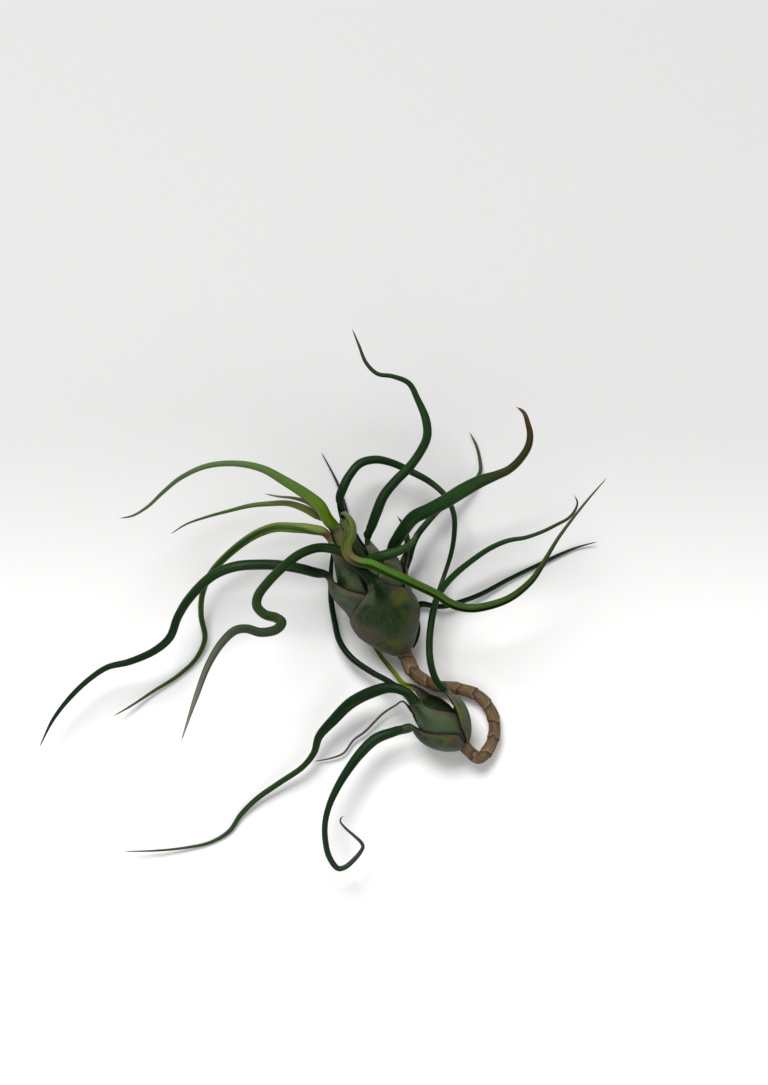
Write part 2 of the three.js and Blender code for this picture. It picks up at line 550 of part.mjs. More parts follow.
// The stems under both bulbs and the woody runner between them, in one piece
function rootstockGeometry() {
  const stemRows = (bulb) => bulb.stem.map(([distance, radius]) => (
    [...axisPoint(bulb, distance).toArray(), radius]
  ));
  const rows = [...stemRows(MOTHER).reverse(), ...RUNNER, ...stemRows(PUP)];
  const points = rows.map(([x, y, z]) => new THREE.Vector3(x, y, z));
  const curve = new THREE.CatmullRomCurve3(points, false, "centripetal");
  const positions = [];
  const rings = [];
  let side = new THREE.Vector3(1, 0, 0);
  const steps = RUNNER_STEPS + 2 * rows.length;
  for (let i = 0; i <= steps; i += 1) {
    const t = i / steps;
    const place = t * (rows.length - 1);
    const row = Math.min(Math.floor(place), rows.length - 2);
    const radius = lerp(rows[row][3], rows[row + 1][3], place - row);
    const tangent = curve.getTangent(t);
    side = side.clone().addScaledVector(tangent, -side.dot(tangent)).normalize();
    const other = tangent.clone().cross(side);
    const around = [];
    for (let j = 0; j < RUNNER_SIDES; j += 1) {
      const angle = (2 * Math.PI * j) / RUNNER_SIDES;
      around.push(curve.getPoint(t)
        .addScaledVector(side, radius * Math.cos(angle))
        .addScaledVector(other, radius * Math.sin(angle))
        .toArray());
    }
    rings.push(around);
  }
  const fan = (around, centre, reversed) => {
    for (let j = 0; j < RUNNER_SIDES; j += 1) {
      const pair = [around[j], around[(j + 1) % RUNNER_SIDES]];
      if (reversed) pair.reverse();
      positions.push(...centre, ...pair[0], ...pair[1]);
    }
  };
  for (let i = 0; i < rings.length - 1; i += 1) {
    for (let j = 0; j < RUNNER_SIDES; j += 1) {
      const k = (j + 1) % RUNNER_SIDES;
      positions.push(...rings[i][j], ...rings[i][k], ...rings[i + 1][j]);
      positions.push(...rings[i][k], ...rings[i + 1][k], ...rings[i + 1][j]);
    }
  }
  fan(rings[0], curve.getPoint(0).toArray(), true);
  fan(rings[rings.length - 1], curve.getPoint(1).toArray(), false);
  const geometry = new THREE.BufferGeometry();
  geometry.setAttribute("position", new THREE.Float32BufferAttribute(positions, 3));
  return mergeVertices(geometry, 1e-4);
}

function mesh(name, geometry, colour, roughness) {
  const material = new THREE.MeshStandardMaterial({ color: colour, roughness, metalness: 0 });
  const part = new THREE.Mesh(geometry, material);
  part.name = name;
  return part;
}

const plant = new THREE.Group();
for (const leaf of LEAVES) {
  const geometry = leafGeometry(leaf);
  const resting = leaf.wall === FLAT_WALL;
  plant.add(mesh(leaf.name, resting ? cutAtGround(geometry) : geometry, leaf.colour, LEAF_ROUGHNESS));
}
plant.add(mesh("rootstock", rootstockGeometry(), WOOD_COLOUR, WOOD_ROUGHNESS));

export default plant;
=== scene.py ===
"""An air plant with a pup on a pale floor: its fine leaves, their finishes, soft light and the camera."""

from math import atan2, cos, pi, radians, sin

import bpy
import numpy as np
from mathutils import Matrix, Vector


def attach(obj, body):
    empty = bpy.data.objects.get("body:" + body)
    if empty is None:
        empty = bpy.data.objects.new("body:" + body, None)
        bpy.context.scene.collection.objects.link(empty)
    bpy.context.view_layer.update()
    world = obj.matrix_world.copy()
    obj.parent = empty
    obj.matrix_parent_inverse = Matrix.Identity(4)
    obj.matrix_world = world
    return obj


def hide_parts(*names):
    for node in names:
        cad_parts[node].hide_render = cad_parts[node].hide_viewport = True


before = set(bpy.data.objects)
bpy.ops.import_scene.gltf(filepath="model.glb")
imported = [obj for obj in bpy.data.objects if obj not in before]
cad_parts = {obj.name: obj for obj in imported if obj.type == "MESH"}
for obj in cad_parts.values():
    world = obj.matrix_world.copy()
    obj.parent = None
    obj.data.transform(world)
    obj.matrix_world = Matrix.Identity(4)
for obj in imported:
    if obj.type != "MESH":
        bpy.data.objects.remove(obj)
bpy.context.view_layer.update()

MM = 0.001

# Sheaths, in millimetres
LAYER_PITCH = 1.25  # from one sheath to the next one inside it
CAD_WALL = 0.6  # a layer's middle lies half of this inside the bulb's outline
SHEATH_THICKNESS = 0.42
MARGIN_THICKNESS = 0.1  # of the papery edge of a sheath
MARGIN_START = 0.55  # share of a leaf's half width, from where it thins towards its edges
MARGIN_BLEND = 3.0  # length over which the margin thickens before the blade leaves
MARGIN_TUCK = 0.5  # how far that edge presses in on the sheath below
NARROWING = 1.15  # how a sheath narrows: 1 for a straight edge, more for a hollow one
STEM_CLEAR = 0.15  # from the stem to the foot of a sheath
FIRST_FOOT = 0.6  # least distance along a bulb's axis to the foot of a sheath
FOOT_STEP = 0.05  # to which that distance is worked out
FOOT_ROLL = radians(140)  # a sheath ends as wide as a blade that is rolled this far to either side
CREASE_START = 0.62  # share of a sheath's narrowing stretch, from where it may be creased
CREASE_PLACE = 1.0  # to the right of the sheath's middle
CREASE_WIDTH = 1.1

# Blades, in millimetres
BLADE_THICKNESS = 0.6  # of a rolled blade's wall
WALL_SHARE = 0.8  # most that the wall takes of a thin blade's radius
EDGE_SHARE = 0.45  # thickness of a blade's edge as a share of its wall
LEAD = 3.0  # length of sheath that a blade's middle line follows before it leaves
BLEND_LENGTH = 6.0  # over which a sheath rolls up into its blade
TWIST_LENGTH = 12.0  # over which a blade turns about its own line, where it does
ROLL_OPEN = radians(132)  # how far a blade is rolled to either side where it starts
ROLL_CLOSED = radians(162)  # the same at its tip
SLIM_WIDTH = 1.3  # blades narrower than this are drawn out finer than the solids are
CAD_TIP_WIDTH = 0.7  # where the solids' blades end
TIP_WIDTH = 0.2  # the same here
POINT_LENGTH = 1.2  # over which the last point closes
POINT_SHARE = 0.12  # share of its width that is left at the very end
STATION_STEP = 0.45  # between two sections of a leaf
FACETS = 28  # across a leaf
LINE_SAMPLES = 1200  # for measuring along a line

# The runner, in millimetres
RUNNER_STEP = 0.2
RUNNER_FACETS = 56
RUNNER_CORE = 0.9  # share of the solid runner's radius, below the scale leaves
SCALE_LEAF = 4.4  # length of one of the papery scale leaves that wrap it
SCALE_LEAF_LIFT = 0.22  # how far its edge stands off
# Waves round the runner: rows are (height, waves in a turn, turn in radians for a millimetre, first turn)
RAGGED_EDGE = [(0.5, 2, 0.4, 0), (0.2, 5, 0, 1)]  # heights in millimetres along the runner
RIBS = [(0.02, 14, 0, 0), (0.03, 5, 0.3, 0)]  # heights as shares of its radius

# A bulb: profile rows are (distance along the axis from the base, radius), and so are the stem's.
# lean turns the axis from +Y towards -X, seen from above, and rise lifts it from the floor.
# The sheaths leave one by one between the ramp's two distances, down to the given number of layers.
MOTHER = {
    "base": (5.5, -11.5, 5.75),
    "lean": radians(25.35),
    "rise": radians(15),
    "profile": [
        (0, 1), (1.5, 3.2), (3.5, 5.0), (6.2, 6.9), (10.1, 9), (15.3, 10), (19.2, 10.25),
        (23, 9.7), (25.6, 8.3), (28.2, 6.8), (31, 5.2), (33.4, 4.3), (38.6, 3.7), (42, 3.6),
    ],
    "ramp": (17, 33, 4),
    "stem": [(-2.5, 2), (2, 2), (5, 1.7), (7.5, 1.2), (9, 0.8)],
}
PUP = {
    "base": (20.75, -34.75, 5.6),
    "lean": radians(42.3),
    "rise": radians(12),
    "profile": [
        (0, 0.8), (1, 2.6), (2.5, 4.3), (4.5, 5.8), (7, 7), (9.5, 7.5), (12, 7.2),
        (14, 6), (16, 4.4), (18, 3.3), (19.3, 3), (22, 3),
    ],
    "ramp": (12, 18, 2),
    "stem": [(-2, 1.6), (1.5, 1.6), (3.5, 1.2), (5, 0.8)],
}

# A leaf: layer counts inwards from the outermost sheath. azimuth turns from the upper side to +X about
# the bulb's axis, and left and right are how far the sheath reaches from it, in degrees. narrow and exit
# are the distances along the axis where the sheath starts to narrow and where the blade leaves.
# Route rows are (x, y, z, width of the blade). look names the blade's colours.
# Some leaves have more: tongue is how strongly the blade's green runs down the middle of the sheath,
# tuck presses the sheath's narrowing edge further in, crease is the depth of a fold below the blade,
# groove is 1 or -1 where the blade's groove turns up or down, pale names the sides of the blade that
# are paler, and open is how far the blade is rolled at first.
LEAVES = [
    {
        "name": "leaf_front", "bulb": MOTHER, "look": "fading",
        "layer": 0, "azimuth": 5, "left": 135, "right": 107, "narrow": 7, "exit": 22,
        "tongue": 1, "crease": 0.8, "groove": -1,
        "route": [
            (-2.4, 7.4, 23.2, 2.5), (-4.9, 9.6, 23.2, 2.4), (-7.6, 12.1, 22.6, 2.5),
            (-10.3, 14.5, 21.8, 2.5), (-15.2, 15.5, 22.6, 2.3), (-19.9, 14.1, 26, 2.3),
            (-23.7, 11.2, 30, 2.3), (-27.6, 7.2, 34.5, 2.3), (-29.8, 3.9, 38, 2.3),
            (-29.9, 1.6, 40, 2.3), (-27.9, -0.3, 42, 2.3), (-25.3, -1, 43.2, 2.4),
            (-23.8, -2.1, 44.9, 2.3), (-25.1, -3.7, 46.7, 2.3), (-28.6, -4.3, 47.8, 2.2),
            (-32, -3.4, 48.8, 2.1), (-34.5, -3.8, 50, 2.1), (-37.4, -6.5, 52, 1.9),
            (-40.3, -11.3, 54.5, 1.6), (-43, -18.7, 57.5, 1.3), (-46.2, -28.8, 60.5, 0.7),
        ],
    },
    {
        "name": "leaf_right_low", "bulb": MOTHER, "look": "dark",
        "layer": -1, "azimuth": 135, "left": 55, "right": 14, "narrow": 3, "exit": 7.5,
        "route": [
            (8.4, 0.7, 1.5, 1.6), (10, 1.2, 2.1, 1.5), (12, 0.9, 2.6, 1.4), (15.2, 0.6, 2.9, 1.4),
            (19.7, 1.8, 2.6, 1.3), (24.6, 3.6, 2, 1.3), (32.2, 7.6, 1.1, 1.2), (40.1, 11.4, 0.75, 1.2),
            (44.9, 13.7, 0.65, 1.1), (49.2, 15.5, 0.8, 0.9), (54.5, 17, 1.6, 0.7),
        ],
    },
    {
        "name": "leaf_left_dark", "bulb": MOTHER, "look": "shaded",
        "layer": 1, "azimuth": -78, "left": 77, "right": 113, "narrow": 15, "exit": 26,
        "tongue": 0.6, "tuck": 1.2, "groove": -1,
        "route": [
            (-13.9, 8.9, 15.4, 2.7), (-16.6, 9.4, 16.6, 2.7), (-20.3, 10.3, 17.6, 2.6),
            (-25.2, 11.1, 18.1, 2.6), (-30.8, 11.3, 18, 2.6), (-36.5, 10.8, 17.8, 2.6),
            (-42, 8.6, 17, 2.5), (-47.8, 3.1, 16, 2.3), (-50.8, -1.6, 15.2, 2.15),
            (-52.9, -6.8, 14.4, 2.1), (-56.7, -10.1, 13.6, 1.95), (-63, -12.9, 12.4, 1.75),
            (-68.8, -14.4, 11.4, 1.5), (-73.5, -17.5, 10.4, 1.4), (-78.1, -21.8, 9.4, 1.3),
            (-82.7, -27.6, 8.2, 1.1), (-86.4, -34.8, 7, 0.7),
        ],
    },
    {
        "name": "leaf_right_thin", "bulb": MOTHER, "look": "thin",
        "layer": 0, "azimuth": 130, "left": 12, "right": 90, "narrow": 8, "exit": 16,
        "groove": -1,
        "route": [
            (5.6, 10, 4.2, 1.8), (6.6, 13, 5.4, 1.8), (7.3, 15.6, 6.8, 1.7), (8.5, 18.4, 7.6, 1.7),
            (11.3, 22, 8, 1.6), (14.6, 25.5, 7, 1.5), (18.9, 28.8, 5.4, 1.25), (22.5, 31.7, 3.4, 1.15),
            (24.6, 34.7, 1.6, 1.1), (24.6, 37.6, 0.75, 1.05), (23.6, 41.6, 0.9, 0.95),
            (21.8, 44.9, 1.6, 0.7),
        ],
    },
    {
        "name": "leaf_right_broad", "bulb": MOTHER, "look": "broad",
        "layer": 2, "azimuth": 63, "left": 120, "right": 100, "narrow": 17, "exit": 26,
        "groove": -1,
        "route": [
            (2.6, 16, 18, 3.2), (4.9, 19.7, 20.4, 3.3), (7.6, 22.9, 21.8, 3.4), (11.5, 24.8, 22.8, 3.4),
            (15.6, 27, 23.8, 3.5), (19.3, 29.3, 24.8, 3.6), (23.4, 31.5, 26.2, 3.2),
            (27.4, 33, 27.6, 2.3), (30.5, 34.4, 28.8, 2), (33.1, 36.8, 30, 1.9), (35, 39.9, 31.4, 1.8),
            (35.4, 42.7, 32.6, 1.6), (34.8, 45.3, 33.6, 1.3), (33.8, 47.9, 34.4, 1.1),
            (31.9, 49.3, 35, 0.8),
        ],
    },
    {
        "name": "leaf_spike", "bulb": MOTHER, "look": "thin",
        "layer": 1, "azimuth": 98, "left": 55, "right": 95, "narrow": 14, "exit": 21,
        "groove": -1,
        "route": [
            (5.6, 13.6, 11.4, 2), (6, 17.3, 13, 1.6), (5, 21, 14.6, 1.1), (3.5, 23.4, 15.6, 0.7),
        ],
    },
    {
        "name": "leaf_short_green", "bulb": MOTHER, "look": "green",
        "layer": 3, "azimuth": 17, "left": 20, "right": 80, "narrow": 18, "exit": 26,
        "groove": -1,
        "route": [
            (-3.2, 12.3, 20.4, 2.6), (-1.5, 13.1, 21.3, 2.7), (1.2, 13.9, 22, 2.6),
            (3.9, 14.7, 22.6, 2.2), (6.6, 16.3, 23.6, 1.7), (8.5, 19.2, 24.8, 0.7),
        ],
    },
    {
        "name": "leaf_left_low", "bulb": MOTHER, "look": "green",
        "layer": 3, "azimuth": -85, "left": 75, "right": 74, "narrow": 26, "exit": 35,
        "groove": -1, "pale": "both",
        "route": [
            (-14.4, 19.3, 16.8, 2.8), (-17.7, 20.1, 18, 2.7), (-21.9, 20.4, 18, 2.6),
            (-26.4, 20.5, 17, 2.4), (-29.9, 19.5, 15.8, 2.3), (-33.7, 17.5, 14, 2.1),
            (-39.1, 13.3, 11.4, 1.9), (-43.3, 8.7, 8.8, 1.65), (-45.5, 3.4, 6.2, 1.5),
            (-45.9, -1.7, 4.2, 1.45), (-45.1, -7.6, 2.4, 1.4), (-47.4, -12.7, 1.2, 1.25),
            (-52, -17, 0.9, 1.15), (-58.3, -21, 1.4, 1.05), (-64.1, -24.8, 2.4, 0.9),
            (-68.3, -27.2, 3.2, 0.7),
        ],
    },
    {
        "name": "leaf_top", "bulb": MOTHER, "look": "dark",
        "layer": 4, "azimuth": 75, "left": 70, "right": 75, "narrow": 22, "exit": 31,
        "groove": -1,
        "route": [
            (-3.6, 19, 17, 2.6), (-2.6, 21.6, 17.8, 2.6), (-1.5, 24.4, 18.2, 2.6),
            (0.2, 28.3, 18.4, 2.5), (3.2, 32, 18.8, 2.4), (6.4, 35.2, 19.4, 2.3),
            (9.1, 38.9, 20.2, 2.2), (10.8, 42.7, 21.4, 2.2), (10.5, 46.8, 22.8, 2.1),
            (8.5, 51.6, 24.4, 1.6), (6.3, 55.5, 25.8, 1.35), (2.4, 57.1, 27, 1.2),
            (-1.4, 57.7, 28, 1.15), (-4.1, 60.3, 28.8, 1.1), (-5.8, 64.4, 29.6, 0.95),
            (-7.5, 68.5, 30, 0.7),
        ],
    },
    {
        "name": "leaf_upper_left", "bulb": MOTHER, "look": "young",
        "layer": 4.1, "azimuth": -42, "left": 33, "right": 38, "narrow": 30, "exit": 37,
        "groove": -1, "pale": "left",
        "route": [
            (-13.6, 22.5, 20, 2.9), (-15.5, 25.8, 22.4, 3), (-18.8, 28.5, 23.8, 2.8),
            (-23.7, 31.6, 25.6, 2.4), (-29.4, 34.7, 27.2, 1.85), (-35.9, 35.9, 28.4, 1.5),
            (-42.9, 35.2, 28.8, 1.3), (-49.2, 32.3, 28.4, 1.2), (-53.4, 28.9, 27.8, 1.1),
            (-57.1, 25.5, 27, 1), (-60.8, 23.3, 26.2, 0.9), (-64.3, 22.6, 25.4, 0.7),
        ],
    },
    {
        "name": "leaf_grey_tip", "bulb": MOTHER, "look": "grey",
        "layer": 4.1, "azimuth": -98, "left": 15, "right": 15, "narrow": 31, "exit": 37,
        "groove": -1,
        "route": [
            (-14, 22.6, 17.2, 1.6), (-16.3, 25.2, 19, 1.5), (-18.9, 26.8, 19.9, 1.2),
            (-22.3, 27.7, 20.8, 1), (-25.5, 28, 21.6, 0.9), (-29.1, 28.7, 22.6, 0.7),
        ],
    },
    {
        "name": "leaf_olive_left", "bulb": MOTHER, "look": "olive",
        "layer": 4.1, "azimuth": -140, "left": 18, "right": 18, "narrow": 31, "exit": 37,
        "groove": -1,
        "route": [
            (-13.6, 22.4, 14.6, 2.2), (-16.6, 23.7, 16, 2.2), (-19.5, 25.2, 17, 1.9),
            (-23.4, 26.4, 18, 1.5), (-28, 26.3, 19, 1.3), (-32.7, 25.8, 19.8, 1.2),
            (-38.3, 24.4, 20.4, 1.05), (-43.7, 22.9, 20.8, 0.95), (-48.4, 21.2, 20.8, 0.85),
            (-52.3, 18.7, 20.4, 0.7),
        ],
    },
    {
        "name": "leaf_arch", "bulb": MOTHER, "look": "dark",
        "layer": 5, "azimuth": 150, "left": 35, "right": 35, "narrow": 30, "exit": 37,
        "groove": -1,
        "route": [
            (-10.9, 27.2, 13.8, 2.4), (-9.9, 30.4, 14, 2.4), (-8.2, 33.6, 13.6, 2.2),
            (-5.7, 36.4, 13, 2.2), (-2, 37.4, 12.2, 2.1), (2, 36.7, 11.2, 1.9), (7, 34.5, 9.8, 1.8),
            (11.8, 31.8, 11, 1.6), (15.6, 28.3, 12, 1.4), (17.6, 24.1, 11, 1.35),
            (17.9, 19.5, 8.4, 1.3), (17.2, 14.2, 6, 1.25), (15.7, 9.2, 4.4, 1.2),
            (14.2, 5.1, 5.2, 1.15), (12.9, 0.6, 5.6, 1.05), (12.4, -3.5, 5.2, 0.8),
        ],
    },
    {
        "name": "leaf_looped", "bulb": MOTHER, "look": "looped",
        "layer": 6, "azimuth": 60, "left": 140, "right": 140, "narrow": 12, "exit": 38,
        "open": radians(118),
        "route": [
            (-9.3, 23.2, 18.8, 2.7), (-9.8, 22.8, 21.3, 2.9), (-9.8, 22.6, 23.4, 3.2),
            (-9.1, 22.1, 25.1, 3.4), (-8.2, 20.7, 26.1, 3.4), (-8.1, 18.5, 26.4, 3.3),
            (-9, 16, 26.4, 3.1), (-8.6, 13.6, 26.2, 2.9), (-6.3, 12, 26, 2.7), (-2.9, 11.3, 26, 2.7),
            (1.2, 9.4, 25.6, 2.7), (5.6, 7.5, 25, 2.6), (13, 4, 23.8, 2.4), (16.9, 1.6, 23.4, 2.4),
            (21.3, 0.6, 23.6, 2.3), (26.4, 1.4, 24.2, 2.2), (31.2, 3.3, 25, 2), (36, 7.3, 26.2, 1.7),
            (38.4, 10.7, 27, 1.4), (40, 13.6, 27.8, 1.2), (42.4, 17.7, 28.8, 1.1), (45.9, 22.6, 30, 1),
            (49.7, 27.4, 31, 0.9), (54, 32.4, 32, 0.7),
        ],
    },
    {
        "name": "pup_leaf_hooked", "bulb": PUP, "look": "hooked",
        "layer": 0, "azimuth": -80, "left": 90, "right": 95, "narrow": 5, "exit": 13,
        "tongue": 0.6, "groove": -1,
        "route": [
            (4.6, -30.2, 8.4, 2.3), (2.2, -30.8, 8.8, 2.6), (-1.8, -32.4, 9.2, 2.8),
            (-5.5, -35.8, 9.8, 2.6), (-8.7, -40, 10.4, 2.2), (-11.5, -44.6, 11, 1.9),
            (-13.5, -49.1, 11.8, 1.6), (-14.4, -53, 12.4, 1.5), (-14.4, -56.9, 12.8, 1.5),
            (-13.4, -61.4, 12.8, 1.5), (-11.2, -64.4, 12.4, 1.4), (-9.4, -64.1, 12.1, 1.3),
            (-7.2, -62.3, 11.6, 1.25), (-5.5, -60.3, 11, 1.15), (-5, -59.1, 10.7, 1.1),
            (-5.5, -58.1, 10.5, 1.1), (-7.4, -56.4, 10, 1), (-9.5, -54.6, 9.6, 0.95),
            (-10.7, -53, 9.2, 0.85), (-10.3, -52, 9, 0.8), (-9.5, -51.9, 8.8, 0.7),
        ],
    },
    {
        "name": "pup_leaf_right", "bulb": PUP, "look": "dark",
        "layer": 0, "azimuth": 70, "left": 45, "right": 90, "narrow": 6, "exit": 13,
        "groove": -1,
        "route": [
            (13.6, -18.2, 12.4, 1.8), (11.9, -13.4, 12.4, 1.8), (11.6, -7.7, 11.4, 1.8),
            (12.5, -0.8, 10.2, 1.8), (13.5, 2.8, 10.2, 1.7), (15.2, 5.8, 10.8, 1.7),
            (18.5, 9.3, 11.6, 1.6), (22.2, 12.3, 12.4, 1.45), (26.6, 15.3, 13.4, 1.35),
            (31, 17.2, 14.4, 1.25), (35.4, 18, 15.2, 1.15), (39.6, 19.5, 16.2, 1.1),
            (43, 21.2, 17, 1.05), (45.7, 22.7, 17.6, 1), (47.3, 24.6, 18.2, 0.95),
            (47.9, 26.6, 18.6, 0.85), (47, 28.6, 19, 0.7),
        ],
    },
    {
        "name": "pup_leaf_left", "bulb": PUP, "look": "thin",
        "layer": 1, "azimuth": -30, "left": 60, "right": 80, "narrow": 9, "exit": 16,
        "tongue": 0.6, "groove": -1,
        "route": [
            (6.2, -20.8, 13.2, 2.4), (2, -19.4, 12.2, 2.7), (-2.5, -20.5, 11, 3), (-8, -23.4, 9.2, 3),
            (-12.6, -28, 7.4, 2.7), (-16.1, -32.1, 6.2, 2.1), (-17.4, -36.2, 5.2, 1.7),
            (-20.2, -39.8, 4.4, 1.5), (-26, -43.9, 3.2, 1.5), (-31.9, -48.1, 2.2, 1.4),
            (-36, -52.2, 1.25, 1.3), (-39.1, -56.6, 0.7, 1.2), (-43.9, -59.4, 0.6, 1.05),
            (-49.7, -60.6, 1.2, 0.97), (-57.3, -61.3, 2, 0.9), (-65.5, -61.4, 3, 0.7),
        ],
    },
    {
        "name": "pup_leaf_dry", "bulb": PUP, "look": "dry",
        "layer": 1, "azimuth": -125, "left": 20, "right": 22, "narrow": 9, "exit": 15,
        "route": [
            (5, -23.2, 5, 0.9), (3, -24.4, 4.4, 0.9), (0, -26.4, 3.4, 0.95), (-4.6, -31.1, 2.2, 1),
            (-7.6, -33.4, 1.8, 0.95), (-9.9, -36.5, 1.6, 0.95), (-12.7, -37.8, 1.5, 0.9),
            (-17.8, -38.8, 1.4, 0.7),
        ],
    },
    {
        "name": "pup_leaf_behind", "bulb": PUP, "look": "deep",
        "layer": 2, "azimuth": -100, "left": 50, "right": 60, "narrow": 13, "exit": 19,
        "route": [
            (4.2, -19.8, 9.2, 1.7), (1.4, -17.9, 7.6, 1.9), (-3, -15.6, 6, 1.9), (-8.1, -12, 4.6, 1.9),
            (-10.9, -8, 4, 1.8), (-12.1, -3.2, 3.8, 1.7), (-13, 2.1, 4, 1.6), (-13.1, 7.7, 4.8, 1.4),
            (-12.8, 13, 6, 1.1), (-12.3, 16.5, 7, 0.7),
        ],
    },
    {
        "name": "pup_leaf_young", "bulb": PUP, "look": "slender",
        "layer": 2, "azimuth": 160, "left": 55, "right": 40, "narrow": 13, "exit": 19,
        "route": [
            (5.2, -18.9, 4.6, 1.4), (2.6, -16, 2.6, 1.3), (-1, -11.5, 1.2, 1.2),
            (-4.6, -4.6, 0.65, 1.1), (-6.6, 4.1, 0.65, 1.1), (-7.9, 13.2, 1.2, 1.1),
            (-9.1, 23.8, 1.8, 1.05), (-11.4, 31.4, 1.4, 0.95), (-15.7, 39.8, 0.7, 0.7),
        ],
    },
]

# The woody runner between the two stems: rows are (x, y, z, radius)
RUNNER = [
    (7.2, -15.2, 5.2, 1.9), (9.4, -17.4, 4.6, 1.7), (13.6, -19.4, 3.4, 1.6), (19, -20.2, 2.6, 1.6),
    (24.2, -22.2, 2.4, 1.6), (27.6, -26.6, 2.4, 1.6), (28.2, -31.6, 2.8, 1.6), (26.4, -35.8, 3.6, 1.6),
    (24.2, -37.6, 4.4, 1.6),
]


def clamp(value, low=0.0, high=1.0):
    return min(max(value, low), high)


def smooth(value):
    """0 below 0, 1 above 1, and an S-curve between."""
    value = clamp(value)
    return value * value * (3 - 2 * value)


def mix(a, b, share):
    return a + (b - a) * share


def unit(vector):
    return vector / np.linalg.norm(vector)


def value_at(rows, x):
    """The value at x of a smooth line through (x, y) rows."""
    last = len(rows) - 1
    if x <= rows[0][0]:
        return rows[0][1]
    if x >= rows[last][0]:
        return rows[last][1]
    i = next(j for j, row in enumerate(rows) if row[0] > x) - 1

    def slope(j):
        a, b = rows[max(j - 1, 0)], rows[min(j + 1, last)]
        return (b[1] - a[1]) / (b[0] - a[0])

    (x0, y0), (x1, y1) = rows[i], rows[i + 1]
    span = x1 - x0
    f = (x - x0) / span
    bend0, bend1 = slope(i) * span, slope(i + 1) * span
    cubic = 2 * (y0 - y1) + bend0 + bend1
    square = 3 * (y1 - y0) - 2 * bend0 - bend1
    return ((cubic * f + square) * f + bend0) * f + y0


# Bulbs


def directions(bulb):
    """A bulb's own directions: along its axis, to its upper side and to its right."""
    lean, rise = bulb["lean"], bulb["rise"]
    level = np.array([-sin(lean), cos(lean), 0])
    up = np.array([0, 0, 1.0])
    along = level * cos(rise) + up * sin(rise)
    upper = up * cos(rise) - level * sin(rise)
    return along, upper, np.cross(along, upper)


def axis_point(bulb, distance):
    return np.array(bulb["base"]) + directions(bulb)[0] * distance


def outward(bulb, azimuth):
    """The direction from the bulb's axis outwards at an azimuth."""
    _, upper, right = directions(bulb)
    return upper * cos(azimuth) + right * sin(azimuth)


def layer_radius(bulb, layer, distance):
    """The middle radius of a layer of sheaths: inner ones come to the outside as the outer ones leave."""
    start, end, count = bulb["ramp"]
    gone = clamp((distance - start) / (end - start)) * count
    return value_at(bulb["profile"], distance) - LAYER_PITCH * (layer - gone) - CAD_WALL / 2


def foot_distance(bulb, layer):
    """Where a layer's sheath clears the stem inside it."""

    def inner_radius(distance):
        return layer_radius(bulb, layer, distance) - CAD_WALL / 2

    distance = FIRST_FOOT
    while inner_radius(distance) < value_at(bulb["stem"], distance) + STEM_CLEAR:
        distance += FOOT_STEP
    return distance


# Lines and meshes


def through(points):
    """A smooth line through points, as a function of t from 0 to their number less 1."""
    points = [np.array(p, float) for p in points]
    points = [2 * points[0] - points[1], *points, 2 * points[-1] - points[-2]]

    def place(t):
        i = min(int(t), len(points) - 4)
        f = t - i
        p0, p1, p2, p3 = points[i:i + 4]
        d0, d1, d2 = (np.linalg.norm(b - a) ** 0.5 for a, b in ((p0, p1), (p1, p2), (p2, p3)))
        bend1 = ((p1 - p0) / d0 - (p2 - p0) / (d0 + d1) + (p2 - p1) / d1) * d1
        bend2 = ((p2 - p1) / d1 - (p3 - p1) / (d1 + d2) + (p3 - p2) / d2) * d1
        cubic = 2 * (p1 - p2) + bend1 + bend2
        square = 3 * (p2 - p1) - 2 * bend1 - bend2
        return ((cubic * f + square) * f + bend1) * f + p1

    return place


def even_stations(place, start, end, step):
    """(t, point, tangent, distance from the start) at even distances along a line."""
    fine = np.linspace(start, end, LINE_SAMPLES)
    points = np.array([place(t) for t in fine])
    lengths = np.concatenate([[0], np.cumsum(np.linalg.norm(np.diff(points, axis=0), axis=1))])
    wanted = np.linspace(0, lengths[-1], int(lengths[-1] / step) + 1)
    ts = np.interp(wanted, lengths, fine)
    places = np.array([place(t) for t in ts])
    tangents = np.gradient(places, axis=0)
    tangents /= np.linalg.norm(tangents, axis=1)[:, None]
    return list(zip(ts, places, tangents, wanted))


def tube_faces(rings, columns):
    """Faces between rings of points that follow one another, and one over either end."""
    faces = []
    for first in range(0, (rings - 1) * columns, columns):
        following = first + columns
        for j in range(columns):
            k = (j + 1) % columns
            faces.append((first + j, first + k, following + k, following + j))
    faces.append(tuple(range(columns))[::-1])
    faces.append(tuple((rings - 1) * columns + j for j in range(columns)))
    return faces


def mesh_object(name, points, faces, values):
    """A smooth mesh object from points in millimetres, with a float value on each point."""
    mesh = bpy.data.meshes.new(name)
    mesh.from_pydata((np.asarray(points) * MM).tolist(), [], faces)
    for key, numbers in values.items():
        attribute = mesh.attributes.new(key, "FLOAT", "POINT")
        attribute.data.foreach_set("value", np.asarray(numbers, np.float32))
    mesh.polygons.foreach_set("use_smooth", [True] * len(mesh.polygons))
    mesh.update()
    made = bpy.data.objects.new(name, mesh)
    bpy.context.scene.collection.objects.link(made)
    return made


# Leaves


def section(centre, hollow, across, radius, left, right, thickness, margin, blade, length):
    """One section: a curved strip about a centre, from -left to right, with its hollow side known."""
    return {
        "centre": centre, "hollow": hollow, "across": across, "radius": radius, "left": left,
        "right": right, "thickness": thickness, "margin": margin, "blade": blade, "length": length,
    }


def reach(full, foot, narrowed):
    """How far the sheath reaches to one side, from full width down to the foot of the blade."""
    return mix(full, foot, narrowed ** NARROWING)


